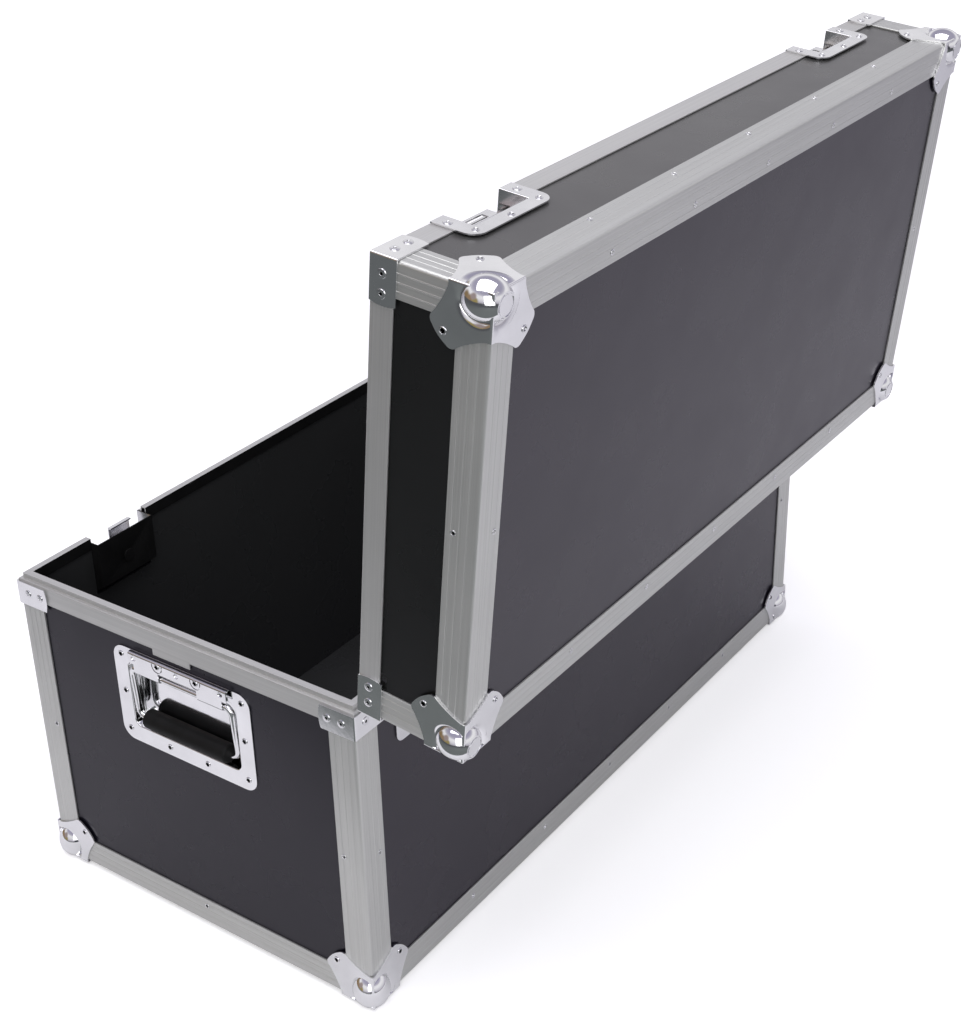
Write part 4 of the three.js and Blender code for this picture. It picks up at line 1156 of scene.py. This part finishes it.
def placeLatches():
    for part, direction, body, turn, node in (("base", -1, "base", inPlace, "dish"),
                                              ("lid", 1, "lid", toOpenLid, "keeper")):
        plate, heads = makeLatchPlate(part, direction)
        for side, middle in latch["middles"].items():
            matrix = turn @ Matrix.Translation((middle, -halfDepth, case["baseHeight"]))
            piece = hand(copyOf(plate, f"latch_{node}_plate_{side}", matrix), body, "zinc_steel", "zinc",
                         f"latch_{side}_{node}")
            # painted shade: the plate's faces deeper than the panel, inside the case, are painted black
            hollow = matrix @ Vector((0, latch["recessDepth"] / 2, direction * latch["middle"]))
            inwards = matrix.to_3x3() @ Vector((0, 1, 0))
            limit = (matrix @ Vector((0, latch["panelDepth"], 0)) - hollow).dot(inwards)
            paintShadeBlack(piece, lambda place, normal: ((place - hollow).dot(inwards) > limit
                                                  and (place - hollow).dot(normal) > 0))
            hand(copyOf(heads, f"latch_{node}_rivets_{side}", matrix), body, "zinc_steel", "zinc")
        drop(plate, heads)


placeLatches()
print("latch plates ready")


# Pieces whose solids already have their shape: merged, their edges softened, and finished
refining = {
    "edge": 0.25 * mm, "rimEdge": 0.35 * mm, "flat": math.radians(1), "smoothAngle": math.radians(30),
    "camBehind": 0.6 * mm,         # what of a cam lies deeper than this behind the dish is painted black, as painted shade
}


def shownCopy(node, ending):
    piece = copyOf(nodes[node], node + ending, nodes[node].matrix_world)
    piece.matrix_world = inPlace
    piece.hide_render = piece.hide_viewport = False
    return piece


def refined(node, body, slot, paint, width=refining["edge"]):
    piece = shownCopy(node, "_finished")
    with editing(piece):
        bpy.ops.mesh.select_all(action='SELECT')
        bpy.ops.mesh.remove_doubles(threshold=touching)
        bpy.ops.mesh.dissolve_limited(angle_limit=refining["flat"])
    soften(piece, width, angle=refining["smoothAngle"])
    return hand(piece, body, slot, paint, node)


def refineLatchesAndHinges():
    behind = latch["recessDepth"] + refining["camBehind"] - halfDepth
    for side in ("left", "right"):
        for part in ("cam", "wings", "hook"):
            piece = refined(f"latch_{side}_{part}", f"{part}_{side}", "zinc_steel", "zinc")
            if part == "cam":
                # painted shade on the part of the cam behind the dish
                paintShadeBlack(piece, lambda place, normal: place.y > behind)
        for body in ("base", "lid"):
            refined(f"hinge_{side}_{body}_leaf", body, "zinc_steel", "zinc")


refineLatchesAndHinges()
print("latches and hinges ready")


# Rows of rivets along the extrusions and on the hinge leaves
rows = {
    "along": (-256 * mm, -128 * mm, 0, 128 * mm, 256 * mm),
    "bottomRise": 20 * mm, "inset": 20 * mm, "frontTop": 415.5 * mm,
    "uprightInset": 22.7 * mm, "uprightMiddle": 168 * mm, "endMiddle": -3 * mm, "endRise": 22 * mm,
    "hinge": (-48 * mm, 0, 48 * mm), "hingeRises": (38 * mm, 56 * mm), "hingeMiddle": 295 * mm,
    "hingeFace": -0.2 * mm,
}


def placeRows():
    top, inset = case["lidTop"], rows["inset"]
    base, lid = [], []
    for x in rows["along"]:
        for sy in (-1, 1):
            base.append(((x, sy * halfDepth, rows["bottomRise"]), (0, sy, 0)))
            base.append(((x, sy * (halfDepth - inset), 0), (0, 0, -1)))
            lid.append(((x, sy * (halfDepth - inset), top), (0, 0, 1)))
            lid.append(((x, sy * halfDepth, rows["frontTop"]), (0, sy, 0)))
    for sx in (-1, 1):
        end, middle, rise = sx * halfLength, rows["endMiddle"], rows["endRise"]
        base.append(((end, 0, rise), (sx, 0, 0)))
        lid.append(((end, middle, top - rise), (sx, 0, 0)))
        lid.append(((sx * (halfLength - rise), middle, top), (0, 0, 1)))
        for sy in (-1, 1):
            aside, up = rows["uprightInset"], rows["uprightMiddle"]
            base.append(((end, sy * (halfDepth - aside), up), (sx, 0, 0)))
            base.append(((sx * (halfLength - aside), sy * halfDepth, up), (0, sy, 0)))
    rivetRow("base_edge_rivets", "small", "base", base)
    rivetRow("lid_edge_rivets", "small", "lid", lid, toOpenLid)
    for body, direction, turn in (("base", -1, inPlace), ("lid", 1, toOpenLid)):
        spots = [((sx * rows["hingeMiddle"] + x, halfDepth + rows["hingeFace"],
                   case["baseHeight"] + direction * rise), (0, 1, 0))
                 for sx in (-1, 1) for x in rows["hinge"] for rise in rows["hingeRises"]]
        rivetRow(f"{body}_hinge_rivets", "plate", body, spots, turn)


placeRows()
print("rivet rows ready")


# Panels give room to the ball corners; rims get soft edges
panelRoom = {"beside": 0.4 * mm, "behind": 0.1 * mm}


def cornerRoom(matrix):               # the space that a ball corner takes from the panels
    reach, depth = corner["block"] + panelRoom["beside"], corner["content"] + panelRoom["behind"]
    room = combine(cubeBetween(-5 * corner["over"], reach), cubeBetween(depth, 2 * reach), 'DIFFERENCE')
    room.data.transform(matrix)
    return room


def finishPanels():
    lidTurn = toOpenLid @ Matrix.Translation((0, 0, case["lidTop"]))
    for body, turn, over in (("base", inPlace, inPlace), ("lid", lidTurn, turnOver)):
        rooms = merge([cornerRoom(turn @ cornerTurn(i) @ over) for i in range(4)], "rooms")
        for word in ("front", "back", "left", "right", "bottom" if body == "base" else "top"):
            node = f"{body}_{word}_panel"
            piece = shownCopy(node, "_cut")
            combine(piece, copyOf(rooms, "rooms", inPlace), 'DIFFERENCE')
            paint = "laminate" + body.capitalize()
            # end panels take the copy with painted shade, the lid's front panel the copy with painted light
            if word in ("left", "right"):
                paint += "End"
            elif node == "lid_front_panel":
                paint += "Front"
            hand(piece, body, "laminated_plywood", paint, node)
        drop(rooms)


rimInside = {"share": 0.7, "thickness": 4 * mm}


def looksInside(turn):                # tests for a face that looks across the case from its rim; such faces get painted shade
    straight = turn.to_3x3()

    def test(place, normal):
        here, outwards = turn @ place, straight @ normal
        return any(outwards[axis] * here[axis] < -rimInside["share"] * abs(here[axis])
                   and abs(here[axis]) < half - rimInside["thickness"]
                   for axis, half in ((0, halfLength), (1, halfDepth)))
    return test


def finishRest():
    finishPanels()
    for body, paint, turn in (("base", "rimBase", inPlace), ("lid", "rimLid", toOpenLid.inverted())):
        for node in (f"{body}_rim", f"{body}_rim_front"):
            piece = refined(node, body, "aluminium", paint, refining["rimEdge"])
            # painted shade: the rim's faces that look into the case are painted black
            paintShadeBlack(piece, looksInside(turn))
    shown = [name for name, piece in nodes.items() if not piece.hide_render]
    print("solids shown:", len(shown))


finishRest()
drop(*rivets.values())
print("all pieces ready")
